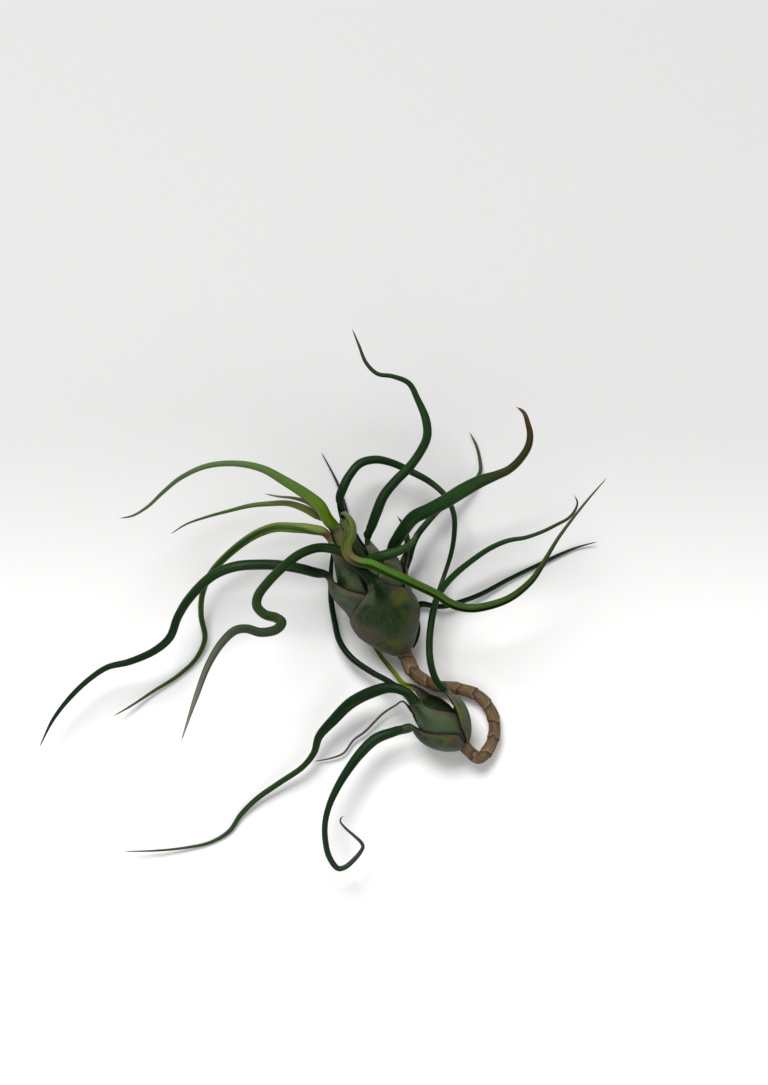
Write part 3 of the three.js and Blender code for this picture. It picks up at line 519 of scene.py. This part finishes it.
def sheath_sections(leaf):
    bulb, layer, exit_at = leaf["bulb"], leaf["layer"], leaf["exit"]
    out = outward(bulb, radians(leaf["azimuth"]))
    across = np.cross(directions(bulb)[0], out)
    foot_arc = (leaf["route"][0][3] - CAD_WALL) / 2 * FOOT_ROLL
    start = foot_distance(bulb, layer)
    sections = []
    count = int((exit_at - start) / STATION_STEP)
    for i in range(count + 1):
        distance = mix(start, exit_at, i / count)
        radius = layer_radius(bulb, layer, distance)
        narrowed = clamp((distance - leaf["narrow"]) / (exit_at - leaf["narrow"]))
        full = [radians(leaf["left"]), radians(leaf["right"])]
        sides = [reach(side, min(foot_arc / radius, side), narrowed) for side in full]
        blended = smooth((distance - exit_at + MARGIN_BLEND) / MARGIN_BLEND)
        margin = mix(MARGIN_THICKNESS, SHEATH_THICKNESS, blended)
        cut = section(axis_point(bulb, distance), -out, across, radius, *sides,
                      SHEATH_THICKNESS, margin, 0.0, distance - start)
        hump = 4 * narrowed * (1 - narrowed)  # 1 halfway along the narrowing stretch
        cut["tuck"] = MARGIN_TUCK + leaf.get("tuck", 0) * hump
        cut["crease"] = leaf.get("crease", 0) * smooth((narrowed - CREASE_START) / (1 - CREASE_START))
        sections.append(cut)
    return sections


def slimmed(width):
    """A blade's width here: near its tip it is finer than the solid's."""
    if width > SLIM_WIDTH:
        return width
    share = (width - CAD_TIP_WIDTH) / (SLIM_WIDTH - CAD_TIP_WIDTH)
    return max(mix(TIP_WIDTH, SLIM_WIDTH, share), TIP_WIDTH)


def rolled_shape(leaf, station, total):
    """Outer radius, wall and roll of the blade at a station."""
    t, _, _, length = station
    widths = [leaf["route"][0][3]] * 2 + [row[3] for row in leaf["route"]]
    width = slimmed(float(np.interp(t, range(len(widths)), widths)))
    width *= clamp((total - length) / POINT_LENGTH, POINT_SHARE, 1)
    outer = width / 2
    wall = min(BLADE_THICKNESS, outer * WALL_SHARE)
    roll = mix(leaf.get("open", ROLL_OPEN), ROLL_CLOSED, smooth(length / total))
    return outer, wall, roll


def angle_to(start, wanted, axis, before):
    """The angle about an axis from one direction to another, in the turn nearest to the angle before."""
    wanted = wanted - axis * np.dot(wanted, axis)
    angle = atan2(np.dot(np.cross(start, wanted), axis), np.dot(start, wanted))
    return angle + 2 * pi * round((before - angle) / (2 * pi))


def blade_stations(leaf):
    bulb, layer, exit_at = leaf["bulb"], leaf["layer"], leaf["exit"]
    out = outward(bulb, radians(leaf["azimuth"]))
    lead = [axis_point(bulb, d) + out * layer_radius(bulb, layer, d) for d in (exit_at - LEAD, exit_at)]
    points = lead + [row[:3] for row in leaf["route"]]
    return even_stations(through(points), 1, len(points) - 1, STATION_STEP)


def blade_sections(leaf, end):
    """Sections on from the sheath's last one, which roll up about the blade's middle line."""
    stations = blade_stations(leaf)
    total = stations[-1][3]
    hollow = end["hollow"]
    start_radius = end["radius"]
    turn = 0.0
    sections = []
    for station in stations[1:]:
        _, point, tangent, length = station
        hollow = unit(hollow - tangent * np.dot(hollow, tangent))
        if "groove" in leaf:
            turn = angle_to(hollow, np.array([0, 0, leaf["groove"]]), tangent, turn)
        twist = turn * smooth(length / TWIST_LENGTH)
        turned = hollow * cos(twist) + np.cross(tangent, hollow) * sin(twist)
        across = np.cross(turned, tangent)
        outer, wall, roll = rolled_shape(leaf, station, total)
        middle = outer - wall / 2
        f = smooth(length / BLEND_LENGTH)
        radius = 1 / mix(1 / start_radius, 1 / middle, f)
        arcs = [mix(start_radius * end[side], middle * roll, f) for side in ("left", "right")]
        sides = [min(arc / radius, roll) for arc in arcs]
        centre = point + turned * mix(radius, 0, f)
        thickness = mix(SHEATH_THICKNESS, wall, f)
        cut = section(centre, turned, across, radius, *sides,
                      thickness, thickness * EDGE_SHARE, f, end["length"] + length)
        cut["tuck"] = MARGIN_TUCK
        cut["crease"] = leaf.get("crease", 0) * (1 - f)
        sections.append(cut)
    return sections


def ring(cut):
    """Points round a section, with where they lie across the leaf: -1 and 1 at its edges."""
    share = np.linspace(-1, 1, FACETS + 1)
    angles = np.where(share < 0, share * cut["left"], share * cut["right"])
    edge = np.clip((np.abs(share) - MARGIN_START) / (1 - MARGIN_START), 0, 1) ** 2
    half = mix(cut["thickness"], cut["margin"], edge) / 2
    tuck = cut["tuck"] * edge * (1 - cut["blade"])
    beside = angles * cut["radius"] - CREASE_PLACE
    crease = cut["crease"] * np.exp(-(beside / CREASE_WIDTH) ** 2)
    radius = cut["radius"] - tuck - crease
    faces = []
    for offset in (half, -half):
        r = (radius + offset)[:, None]
        face = cut["centre"] - cut["hollow"] * r * np.cos(angles)[:, None]
        faces.append(face + cut["across"] * r * np.sin(angles)[:, None])
    outer, inner = faces
    return np.vstack([outer, inner[::-1]]), np.concatenate([share, share[::-1]])


def leaf_mesh(leaf):
    sheath = sheath_sections(leaf)
    cuts = sheath + blade_sections(leaf, sheath[-1])
    rings, across = zip(*(ring(cut) for cut in cuts))
    columns = len(rings[0])
    lengths = np.array([cut["length"] for cut in cuts])
    exit_length = sheath[-1]["length"]
    sheath_share = np.clip(lengths / exit_length, 0, 1)
    blade_share = np.clip((lengths - exit_length) / (lengths[-1] - exit_length), 0, 1)
    values = {
        "across": np.concatenate(across),
        "rolled": np.repeat([cut["blade"] for cut in cuts], columns),
        "sheath_share": np.repeat(sheath_share, columns),
        "millimetres": np.repeat(lengths, columns),
        "blade_share": np.repeat(blade_share, columns),
    }
    points = np.vstack(rings)
    points[:, 2] = np.maximum(points[:, 2], 0)  # nothing dips into the floor
    return mesh_object(leaf["name"] + "_fine", points, tube_faces(len(cuts), columns), values)


# Rootstock


def waves(rows, angle, length):
    """The sum of waves that run round the runner and turn along it."""
    return sum(height * sin(count * angle + turn * length + first) for height, count, turn, first in rows)


def rootstock_mesh():
    """The stems under both bulbs and the runner between them, wrapped in papery scale leaves."""
    rows = [(*axis_point(MOTHER, d), r) for d, r in reversed(MOTHER["stem"])]
    rows += RUNNER
    rows += [(*axis_point(PUP, d), r) for d, r in PUP["stem"]]
    radii = [row[3] for row in rows]
    stations = even_stations(through([row[:3] for row in rows]), 0, len(rows) - 1, RUNNER_STEP)
    side = np.array([1.0, 0, 0])
    points, lengths, around, scales = [], [], [], []
    for t, point, tangent, length in stations:
        side = unit(side - tangent * np.dot(side, tangent))
        other = np.cross(tangent, side)
        radius = float(np.interp(t, range(len(radii)), radii)) * RUNNER_CORE
        for j in range(RUNNER_FACETS):
            angle = 2 * pi * j / RUNNER_FACETS
            scale = ((length + waves(RAGGED_EDGE, angle, length)) / SCALE_LEAF) % 1
            r = radius * (1 + waves(RIBS, angle, length)) + SCALE_LEAF_LIFT * scale ** 2
            points.append(point + r * (side * cos(angle) + other * sin(angle)))
            lengths.append(length)
            around.append(j / RUNNER_FACETS)
            scales.append(scale)
    values = {"millimetres": lengths, "around": around, "scale": scales}
    return mesh_object("rootstock_fine", points, tube_faces(len(stations), RUNNER_FACETS), values)


# Finishes


def srgb(red, green, blue):
    """A colour given as 0 to 255 on screen, as the linear one that shaders use."""
    channels = [c / 255 for c in (red, green, blue)]
    return (*[c / 12.92 if c <= 0.04045 else ((c + 0.055) / 1.055) ** 2.4 for c in channels], 1)


# The colour sockets of a mixing node, by number because its sockets share their names
MIX_FIRST, MIX_SECOND = 6, 7
MIX_RESULT = 2


class Finish:
    """A material, with short ways to add the shader nodes it is made of."""

    def __init__(self, name):
        self.material = bpy.data.materials.new(name)
        self.material.use_nodes = True
        self.tree = self.material.node_tree
        self.surface = self.tree.nodes["Principled BSDF"]

    def put(self, socket, value):
        """A constant or another node's output into a socket."""
        if isinstance(value, bpy.types.NodeSocket):
            self.tree.links.new(value, socket)
        else:
            socket.default_value = value

    def set(self, **inputs):
        """Inputs of the surface shader, with _ for a blank in their names."""
        for name, value in inputs.items():
            self.put(self.surface.inputs[name.replace("_", " ")], value)

    def value(self, name):
        """A value that the mesh carries."""
        made = self.tree.nodes.new("ShaderNodeAttribute")
        made.attribute_name = name
        return made.outputs["Fac"]

    def place(self):
        """The place on the object, in metres."""
        made = self.tree.nodes.new("ShaderNodeTexCoord")
        return made.outputs["Object"]

    def calc(self, operation, a, b=0.0, c=0.0):
        """The result of a calculation with one to three values."""
        made = self.tree.nodes.new("ShaderNodeMath")
        made.operation = operation
        for socket, value in zip(made.inputs, (a, b, c)):
            self.put(socket, value)
        return made.outputs[0]

    def step(self, value, low, high, start=0.0, end=1.0):
        """start while value is under low, end once it is over high, and an S-curve between."""
        made = self.tree.nodes.new("ShaderNodeMapRange")
        made.interpolation_type = "SMOOTHSTEP"
        for socket, item in zip(made.inputs, (value, low, high, start, end)):
            self.put(socket, item)
        return made.outputs[0]

    def vector(self, x, y, z):
        made = self.tree.nodes.new("ShaderNodeCombineXYZ")
        for socket, value in zip(made.inputs, (x, y, z)):
            self.put(socket, value)
        return made.outputs[0]

    def moved(self, place, seed):
        """Places moved by a seed, so that no two leaves have the same patches."""
        made = self.tree.nodes.new("ShaderNodeVectorMath")
        self.put(made.inputs[0], place)
        made.inputs[1].default_value = (seed, seed * 0.7, seed * 0.3)
        return made.outputs[0]

    def apart(self, place, centre):
        """How far a place is from a centre."""
        made = self.tree.nodes.new("ShaderNodeVectorMath")
        made.operation = "DISTANCE"
        self.put(made.inputs[0], place)
        made.inputs[1].default_value = centre
        return made.outputs["Value"]

    def noise(self, place, scale, detail=3.0, rough=0.5):
        """A soft random pattern from 0 to 1."""
        made = self.tree.nodes.new("ShaderNodeTexNoise")
        self.put(made.inputs["Vector"], place)
        self.put(made.inputs["Scale"], scale)
        self.put(made.inputs["Detail"], detail)
        self.put(made.inputs["Roughness"], rough)
        return made.outputs["Fac"]

    def mix(self, share, a, b):
        """A colour between two others."""
        made = self.tree.nodes.new("ShaderNodeMix")
        made.data_type = "RGBA"
        self.put(made.inputs["Factor"], share)
        self.put(made.inputs[MIX_FIRST], a)
        self.put(made.inputs[MIX_SECOND], b)
        return made.outputs[MIX_RESULT]

    def ramp(self, share, stops):
        """A colour that changes with share; stops are (place, colour)."""
        made = self.tree.nodes.new("ShaderNodeValToRGB")
        steps = made.color_ramp.elements
        while len(steps) < len(stops):
            steps.new(0.5)
        for item, (position, colour) in zip(steps, stops):
            item.position = position
            item.color = srgb(*colour)
        self.put(made.inputs["Fac"], share)
        return made.outputs["Color"]

    def bump(self, height, depth):
        """A relief of the surface, its depth in millimetres."""
        made = self.tree.nodes.new("ShaderNodeBump")
        made.inputs["Distance"].default_value = depth * MM
        self.put(made.inputs["Height"], height)
        self.set(Normal=made.outputs["Normal"])


# Colours of a blade from where it leaves its sheath (0) to its tip (1)
BLADES = {
    "dark": [
        (0, (10, 38, 8)), (0.3, (14, 42, 12)), (0.5, (22, 50, 18)), (0.75, (24, 52, 20)),
        (0.92, (52, 58, 42)), (1, (70, 62, 54)),
    ],
    "deep": [(0, (14, 38, 12)), (0.3, (6, 26, 8)), (1, (10, 28, 10))],
    # near-black where it leaves the neck: painted shade
    "shaded": [
        (0, (6, 26, 6)), (0.12, (10, 38, 8)), (0.3, (24, 52, 18)), (0.5, (8, 34, 12)),
        (0.7, (14, 38, 20)), (0.9, (26, 44, 30)), (1, (62, 58, 52)),
    ],
    # near-black where it leaves the neck: painted shade; grey towards its tip
    "fading": [
        (0, (4, 22, 4)), (0.14, (12, 38, 8)), (0.32, (24, 50, 10)), (0.55, (34, 54, 20)),
        (0.7, (60, 68, 50)), (0.86, (92, 98, 82)), (1, (122, 122, 112)),
    ],
    "broad": [
        (0, (4, 32, 2)), (0.25, (10, 42, 6)), (0.45, (28, 60, 18)), (0.58, (26, 50, 14)),
        (0.65, (50, 44, 18)), (0.71, (32, 50, 16)), (0.82, (48, 46, 22)), (0.93, (64, 46, 26)),
        (1, (92, 70, 48)),
    ],
    "hooked": [
        (0, (16, 46, 14)), (0.45, (10, 38, 14)), (0.68, (30, 50, 34)), (0.82, (50, 58, 52)),
        (1, (74, 74, 72)),
    ],
    "thin": [
        (0, (8, 34, 8)), (0.3, (12, 38, 10)), (0.5, (32, 60, 22)), (0.8, (48, 70, 38)),
        (1, (72, 76, 58)),
    ],
    "green": [
        (0, (98, 114, 34)), (0.1, (52, 80, 16)), (0.28, (30, 58, 12)), (0.8, (38, 64, 22)),
        (0.95, (74, 76, 50)), (1, (84, 72, 56)),
    ],
    "young": [
        (0, (124, 138, 34)), (0.07, (92, 124, 8)), (0.2, (76, 106, 32)), (0.4, (80, 106, 52)),
        (0.65, (76, 98, 54)), (0.88, (76, 92, 54)), (1, (84, 78, 60)),
    ],
    "slender": [
        (0, (124, 138, 34)), (0.3, (84, 110, 20)), (0.6, (44, 64, 26)), (0.9, (44, 52, 38)),
        (1, (60, 58, 52)),
    ],
    "olive": [
        (0, (138, 142, 58)), (0.25, (120, 126, 62)), (0.42, (88, 104, 46)), (0.6, (60, 88, 32)),
        (0.85, (66, 86, 46)), (1, (84, 78, 66)),
    ],
    "grey": [(0, (110, 116, 56)), (0.45, (124, 122, 94)), (1, (110, 104, 98))],
    "looped": [
        (0, (84, 88, 52)), (0.14, (84, 100, 42)), (0.2, (104, 94, 56)), (0.25, (70, 108, 34)),
        (0.35, (58, 92, 22)), (0.5, (44, 70, 12)), (0.72, (46, 68, 16)), (0.82, (76, 76, 46)),
        (0.92, (86, 76, 60)), (1, (94, 78, 64)),
    ],
    "dry": [(0, (104, 98, 88)), (1, (84, 78, 72))],
}

# Colours of the sheaths
PALE = srgb(66, 80, 56)
GREEN = srgb(18, 40, 10)
OLIVE = srgb(88, 92, 26)
BROWN = srgb(76, 64, 52)
# painted shade on a sheath, dark grey-brown
PAINTED_SHEATH_SHADE = srgb(38, 34, 32)
# painted shadow: dark green where the front blade leaves its sheath, under the looped leaf
PAINTED_SHADOW_GREEN = srgb(10, 26, 8)
MAROON = srgb(84, 40, 40)
NECK = srgb(116, 112, 88)
MARGIN = srgb(30, 20, 22)
BLOOM = srgb(140, 146, 128)

# Colours on the blades: pale streaks, partly a painted highlight; painted shade, in dark streaks and towards
# the sides; and the paler colour of some sides
STREAKS_AND_HIGHLIGHT = srgb(104, 124, 66)
SHADE = srgb(8, 20, 8)
PALE_SIDE = srgb(150, 160, 92)

# Colours of the woody stem: of its veins, of painted shade below the edge of a scale leaf, and along that
# edge
VEINS = [(0.3, (58, 42, 30)), (0.5, (98, 76, 54)), (0.72, (142, 120, 90))]
PAINTED_SHADE_UNDER_SCALE = srgb(40, 30, 20)
SCALE_EDGE = srgb(150, 132, 104)

# Patches of one colour on a leaf: rows are (x, y, z, radius, strength, colour), in millimetres.
PATCHES = {
    "leaf_front": [
        (-5.5, -6, 15, 8, 0.75, BROWN), (3.4, -2.4, 20, 7.5, 0.95, GREEN),
        (-2.2, -3.4, 20, 4.5, 0.6, GREEN), (6.5, 0, 18, 4.5, 0.5, GREEN),
        (9.4, -1.6, 14, 3.4, 0.7, BROWN), (5.9, 3.6, 19, 4.2, 0.95, OLIVE),
        # two patches of painted shadow where the blade leaves the sheath, under the looped leaf
        (-1.6, 8, 21, 2.6, 0.85, PAINTED_SHADOW_GREEN), (0, 4.8, 21, 2.8, 0.85, PAINTED_SHADOW_GREEN),
    ],
    "leaf_left_low": [(-14.2, 18.4, 17, 2.2, 0.9, MAROON)],
    "leaf_left_dark": [
        # the grey-brown patch is painted shade beside the front leaf, where its blade leaves the sheath
        (-11, 6.2, 14, 3.4, 0.8, OLIVE), (-6.6, 4.2, 19, 3, 0.8, PAINTED_SHEATH_SHADE),
        (-9.5, 9, 15, 3.4, 0.5, GREEN),
    ],
}
PATCH_RAGGED = 1.6  # how far the mottling moves a patch's edge, as a share of its radius
PATCH_CORE = 0.3  # share of a patch's radius inside which it has its full strength

# Grains of the patterns, in cells to a metre
MOTTLE_GRAIN = 120
OLIVE_GRAIN = 150
WEAR_GRAIN = 260
SPECK_GRAIN = 7000

# Patterns drawn out along a leaf: (steps in a millimetre along it, steps from its middle to an edge, detail)
BLADE_LINES = (0.05, 3, 3)
STRIAE = (0.08, 30, 4)
LINE_GRAIN = 1.5  # cells in a step
DRIFT_GRAIN = 0.3  # cells in a millimetre of the drift of a blade's colour
DRIFT_SHARE = 0.1  # how far that drift moves the colour, as a share of the blade's length
SEED_STEP = 7.3  # between the patterns of two leaves
VEIN_STEPS = (0.2, 60)  # in a millimetre along the runner, and in a turn round it
WORN_FOOT = 7  # length in millimetres over which the foot of a sheath is worn

SHEATH_ROUGHNESS = 0.5
BLADE_ROUGHNESS = 0.34
SPECK_ROUGHNESS = 0.2  # how much the specks add or take
LEAF_SHINE = 0.1
LEAF_BUMP = 0.05  # in millimetres, like the other
WOOD_ROUGHNESS = 0.7
WOOD_SHINE = 0.25
WOOD_BUMP = 0.12


def drawn_out(finish, at, pattern):
    """Noise in lines along a leaf."""
    along, over, detail = pattern
    length = finish.calc("MULTIPLY", at["length"], along)
    across = finish.calc("MULTIPLY", at["across"], over)
    return finish.noise(finish.vector(length, across, at["seed"]), LINE_GRAIN, detail)


def blade_colour(finish, at, leaf):
    """Its colours along its length, with streaks that are partly its own and partly a painted highlight and
    painted shade, painted shade towards its sides, and pale sides where it has them.
    """
    drift = finish.noise(finish.vector(at["length"], at["across"], at["seed"]), DRIFT_GRAIN)
    drift = finish.calc("SUBTRACT", drift, 0.5)
    moved = finish.calc("MULTIPLY_ADD", drift, DRIFT_SHARE, at["blade_share"])
    blade = finish.ramp(moved, BLADES[leaf["look"]])
    # streaks along the blade: partly its own, partly a painted highlight (pale ones) and painted shade (dark
    # ones)
    lines = drawn_out(finish, at, BLADE_LINES)
    blade = finish.mix(finish.step(lines, 0.52, 0.76, 0, 0.14), blade, STREAKS_AND_HIGHLIGHT)
    blade = finish.mix(finish.step(lines, 0.5, 0.28, 0, 0.4), blade, SHADE)
    # painted shade: the blade darkens towards its sides, as a round blade lit from above does
    if "groove" in leaf and leaf.get("pale") != "both":
        blade = finish.mix(finish.step(at["side"], 0.2, 0.6, 0, 0.45), blade, SHADE)
    if "pale" in leaf:
        halves = {"left": finish.calc("MULTIPLY", at["across"], -1), "both": at["side"]}
        half = finish.step(halves[leaf["pale"]], 0.12, 0.3)
        fading = finish.step(at["blade_share"], 0.08, 0.35, 0.4, 0.12)
        blade = finish.mix(finish.calc("MULTIPLY", half, fading), blade, PALE_SIDE)
    return blade


def sheath_colour(finish, at):
    """Pale, with dark green and olive patches."""
    sheath = finish.mix(finish.step(at["mottle"], 0.42, 0.64), PALE, GREEN)
    yellow = finish.noise(finish.moved(at["place"], at["seed"] + 3), OLIVE_GRAIN, 3)
    return finish.mix(finish.step(yellow, 0.5, 0.68, 0, 0.75), sheath, OLIVE)


def patch_shares(finish, at, name):
    """How strongly each patch of a leaf covers it, with the patch's colour."""
    ragged = finish.calc("SUBTRACT", at["mottle"], 0.5)
    shares = []
    for x, y, z, radius, strength, colour in PATCHES.get(name, []):
        away = finish.apart(at["place"], (x * MM, y * MM, z * MM))
        away = finish.calc("MULTIPLY_ADD", ragged, PATCH_RAGGED * radius * MM, away)
        shares.append((finish.step(away, radius * MM, PATCH_CORE * radius * MM, 0, strength), colour))
    return shares


def aged_sheath(finish, at, leaf, sheath):
    """Brown where it is worn, with fine pale striae. Sheaths that aren't in front are paler in the neck."""
    in_front = "tongue" in leaf
    worn_sides = finish.step(at["side"], 0.45, 1, 0, 0.5)
    worn_foot = finish.step(at["length"], WORN_FOOT, 0, 0, 0.5)
    worn = finish.calc("ADD", finish.calc("ADD", worn_sides, worn_foot), at["wear"])
    worn = finish.step(worn, 0.66, 1.05, 0, 0.75 if in_front else 0.45)
    sheath = finish.mix(worn, sheath, BROWN)
    sheath = finish.mix(finish.step(at["striae"], 0.52, 0.75, 0, 0.11), sheath, BLOOM)
    if in_front:
        return sheath
    neck = finish.step(at["sheath_share"], 0.66, 0.95)
    neck = finish.calc("MULTIPLY", neck, finish.step(at["wear"], 0.38, 0.62, 0.2, 0.7))
    return finish.mix(neck, sheath, NECK)


def leaf_values(finish, seed):
    """What the colours of a leaf follow: where a point lies on it, and patterns."""
    at = {
        "seed": seed,
        "place": finish.place(),
        "across": finish.value("across"),
        "length": finish.value("millimetres"),
        "rolled": finish.value("rolled"),
        "sheath_share": finish.value("sheath_share"),
        "blade_share": finish.value("blade_share"),
    }
    at["side"] = finish.calc("ABSOLUTE", at["across"])
    at["mottle"] = finish.noise(finish.moved(at["place"], seed), MOTTLE_GRAIN, 4, 0.6)
    at["wear"] = finish.noise(finish.moved(at["place"], seed + 6), WEAR_GRAIN, 4, 0.65)
    at["striae"] = drawn_out(finish, at, STRIAE)
    return at


def leaf_finish(name, leaf, seed):
    """A blade that changes colour along its length, on a mottled sheath with a dark papery margin."""
    finish = Finish(name)
    at = leaf_values(finish, seed)
    blade = blade_colour(finish, at, leaf)
    sheath = sheath_colour(finish, at)
    for share, colour in patch_shares(finish, at, leaf["name"]):
        sheath = finish.mix(share, sheath, colour)
        blade = finish.mix(share, blade, colour)
    sheath = aged_sheath(finish, at, leaf, sheath)

    # the blade's green runs down the middle of a sheath in front
    middle = finish.step(at["side"], 0.42, 0.1, 0, leaf.get("tongue", 0))
    running = finish.calc("MULTIPLY", middle, finish.step(at["sheath_share"], 0.55, 1))
    green = finish.calc("MAXIMUM", finish.step(at["rolled"], 0.02, 0.5), running)
    colour = finish.mix(green, sheath, blade)

    # a pale dust all over, and dark margins
    specks = finish.noise(at["place"], SPECK_GRAIN, 2, 0.7)
    dust = finish.calc("MULTIPLY", finish.step(specks, 0.5, 0.75), finish.step(green, 0, 1, 0.15, 0.03))
    colour = finish.mix(dust, colour, BLOOM)
    darkness = finish.step(at["rolled"], 0.2, 0.7, 0.95, 0.35)
    edge = finish.calc("MULTIPLY", finish.step(at["side"], 0.9, 0.97), darkness)
    colour = finish.mix(edge, colour, MARGIN)

    dull = finish.step(at["rolled"], 0.1, 0.8, SHEATH_ROUGHNESS, BLADE_ROUGHNESS)
    uneven = finish.calc("SUBTRACT", specks, 0.5)
    dull = finish.calc("MULTIPLY_ADD", uneven, SPECK_ROUGHNESS, dull)
    finish.set(Base_Color=colour, Roughness=dull, Specular_IOR_Level=LEAF_SHINE)
    finish.bump(finish.calc("MULTIPLY_ADD", specks, 0.3, at["striae"]), LEAF_BUMP)
    return finish.material


def wood_finish():
    """Papery brown scale leaves with lengthwise veins, with painted shade where one comes out from under the
    next.
    """
    finish = Finish("woody_stem")
    length = finish.calc("MULTIPLY", finish.value("millimetres"), VEIN_STEPS[0])
    around = finish.calc("MULTIPLY", finish.value("around"), VEIN_STEPS[1])
    scale = finish.value("scale")
    veins = finish.noise(finish.vector(length, around, 0), 1, 4)
    colour = finish.ramp(veins, VEINS)
    # painted shade where a scale leaf comes out from under the one before
    colour = finish.mix(finish.step(scale, 0.3, 0, 0, 0.75), colour, PAINTED_SHADE_UNDER_SCALE)
    colour = finish.mix(finish.step(scale, 0.85, 1, 0, 0.5), colour, SCALE_EDGE)
    finish.set(Base_Color=colour, Roughness=WOOD_ROUGHNESS, Specular_IOR_Level=WOOD_SHINE)
    finish.bump(veins, WOOD_BUMP)
    return finish.material


def stand_in(piece, node, finish):
    """A finer piece takes the place of a node, in its material slot."""
    piece.data.materials.append(finish)
    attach(piece, "root")
    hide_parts(node)


for number, leaf in enumerate(LEAVES):
    stand_in(leaf_mesh(leaf), leaf["name"], leaf_finish(leaf["name"] + "_finish", leaf, number * SEED_STEP))
stand_in(rootstock_mesh(), "rootstock", wood_finish())


# Floor, light and camera, in metres

FLOOR_SIZE = 2.4
FLOOR_GREY = 254  # towards the bottom of the picture
FLOOR_FADES = [(-0.045, 0.055, 213), (0.05, 0.2, 206)]  # from one y to another, to a darker grey
FLOOR_ROUGHNESS = 0.8
FLOOR_SHINE = 0.2
# name, place, target, size, power in watts and colour
LIGHTS = [
    ("window", (-0.3, 0.9, 1.3), (0, 0, 0), (0.8, 0.6), 24, (1, 1, 0.99)),
    ("fill", (0.1, -0.7, 0.9), (0, -0.1, 0), (0.9, 0.6), 2.2, (1, 1, 1)),
]
SURROUNDING_LIGHT = 0.36
VIEW_CENTRE = (0.25 * MM, 16.75 * MM)
VIEW_SPAN = 271.25 * MM  # what the picture's height shows, level with the bulb's middle
BULB_MIDDLE = 10 * MM
CAMERA_HEIGHT = 610 * MM
SENSOR_HEIGHT = 24  # in millimetres
NEAREST_SEEN = 10 * MM


def floor():
    """A pale floor, a little darker towards the top of the picture."""
    bpy.ops.mesh.primitive_plane_add(size=FLOOR_SIZE, location=(0, 0, 0))
    made = bpy.context.object
    made.name = "floor"
    finish = Finish("floor_finish")
    apart = finish.tree.nodes.new("ShaderNodeSeparateXYZ")
    finish.put(apart.inputs[0], finish.place())
    colour = srgb(FLOOR_GREY, FLOOR_GREY, FLOOR_GREY)
    for start, end, grey in FLOOR_FADES:
        colour = finish.mix(finish.step(apart.outputs["Y"], start, end), colour, srgb(grey, grey, grey))
    finish.set(Base_Color=colour, Roughness=FLOOR_ROUGHNESS, Specular_IOR_Level=FLOOR_SHINE)
    made.data.materials.append(finish.material)


def soft_light(name, place, target, size, power, colour):
    data = bpy.data.lights.new(name, "AREA")
    data.shape = "RECTANGLE"
    data.size, data.size_y = size
    data.energy = power
    data.color = colour
    made = bpy.data.objects.new(name, data)
    made.location = place
    made.rotation_euler = (Vector(target) - Vector(place)).to_track_quat("-Z", "Y").to_euler()
    bpy.context.scene.collection.objects.link(made)


def surroundings():
    """An even white light from all sides."""
    world = bpy.data.worlds.new("surroundings")
    world.use_nodes = True
    background = world.node_tree.nodes["Background"]
    background.inputs["Color"].default_value = (1, 1, 1, 1)
    background.inputs["Strength"].default_value = SURROUNDING_LIGHT
    bpy.context.scene.world = world


def camera():
    """It looks straight down, with the top of the picture towards +Y."""
    data = bpy.data.cameras.new("camera")
    data.sensor_fit = "VERTICAL"
    data.sensor_height = SENSOR_HEIGHT
    data.lens = SENSOR_HEIGHT * (CAMERA_HEIGHT - BULB_MIDDLE) / VIEW_SPAN
    data.clip_start = NEAREST_SEEN
    made = bpy.data.objects.new("camera", data)
    made.location = (*VIEW_CENTRE, CAMERA_HEIGHT)
    bpy.context.scene.collection.objects.link(made)
    bpy.context.scene.camera = made


bpy.context.scene.view_settings.view_transform = "Standard"
floor()
for light in LIGHTS:
    soft_light(*light)
surroundings()
camera()
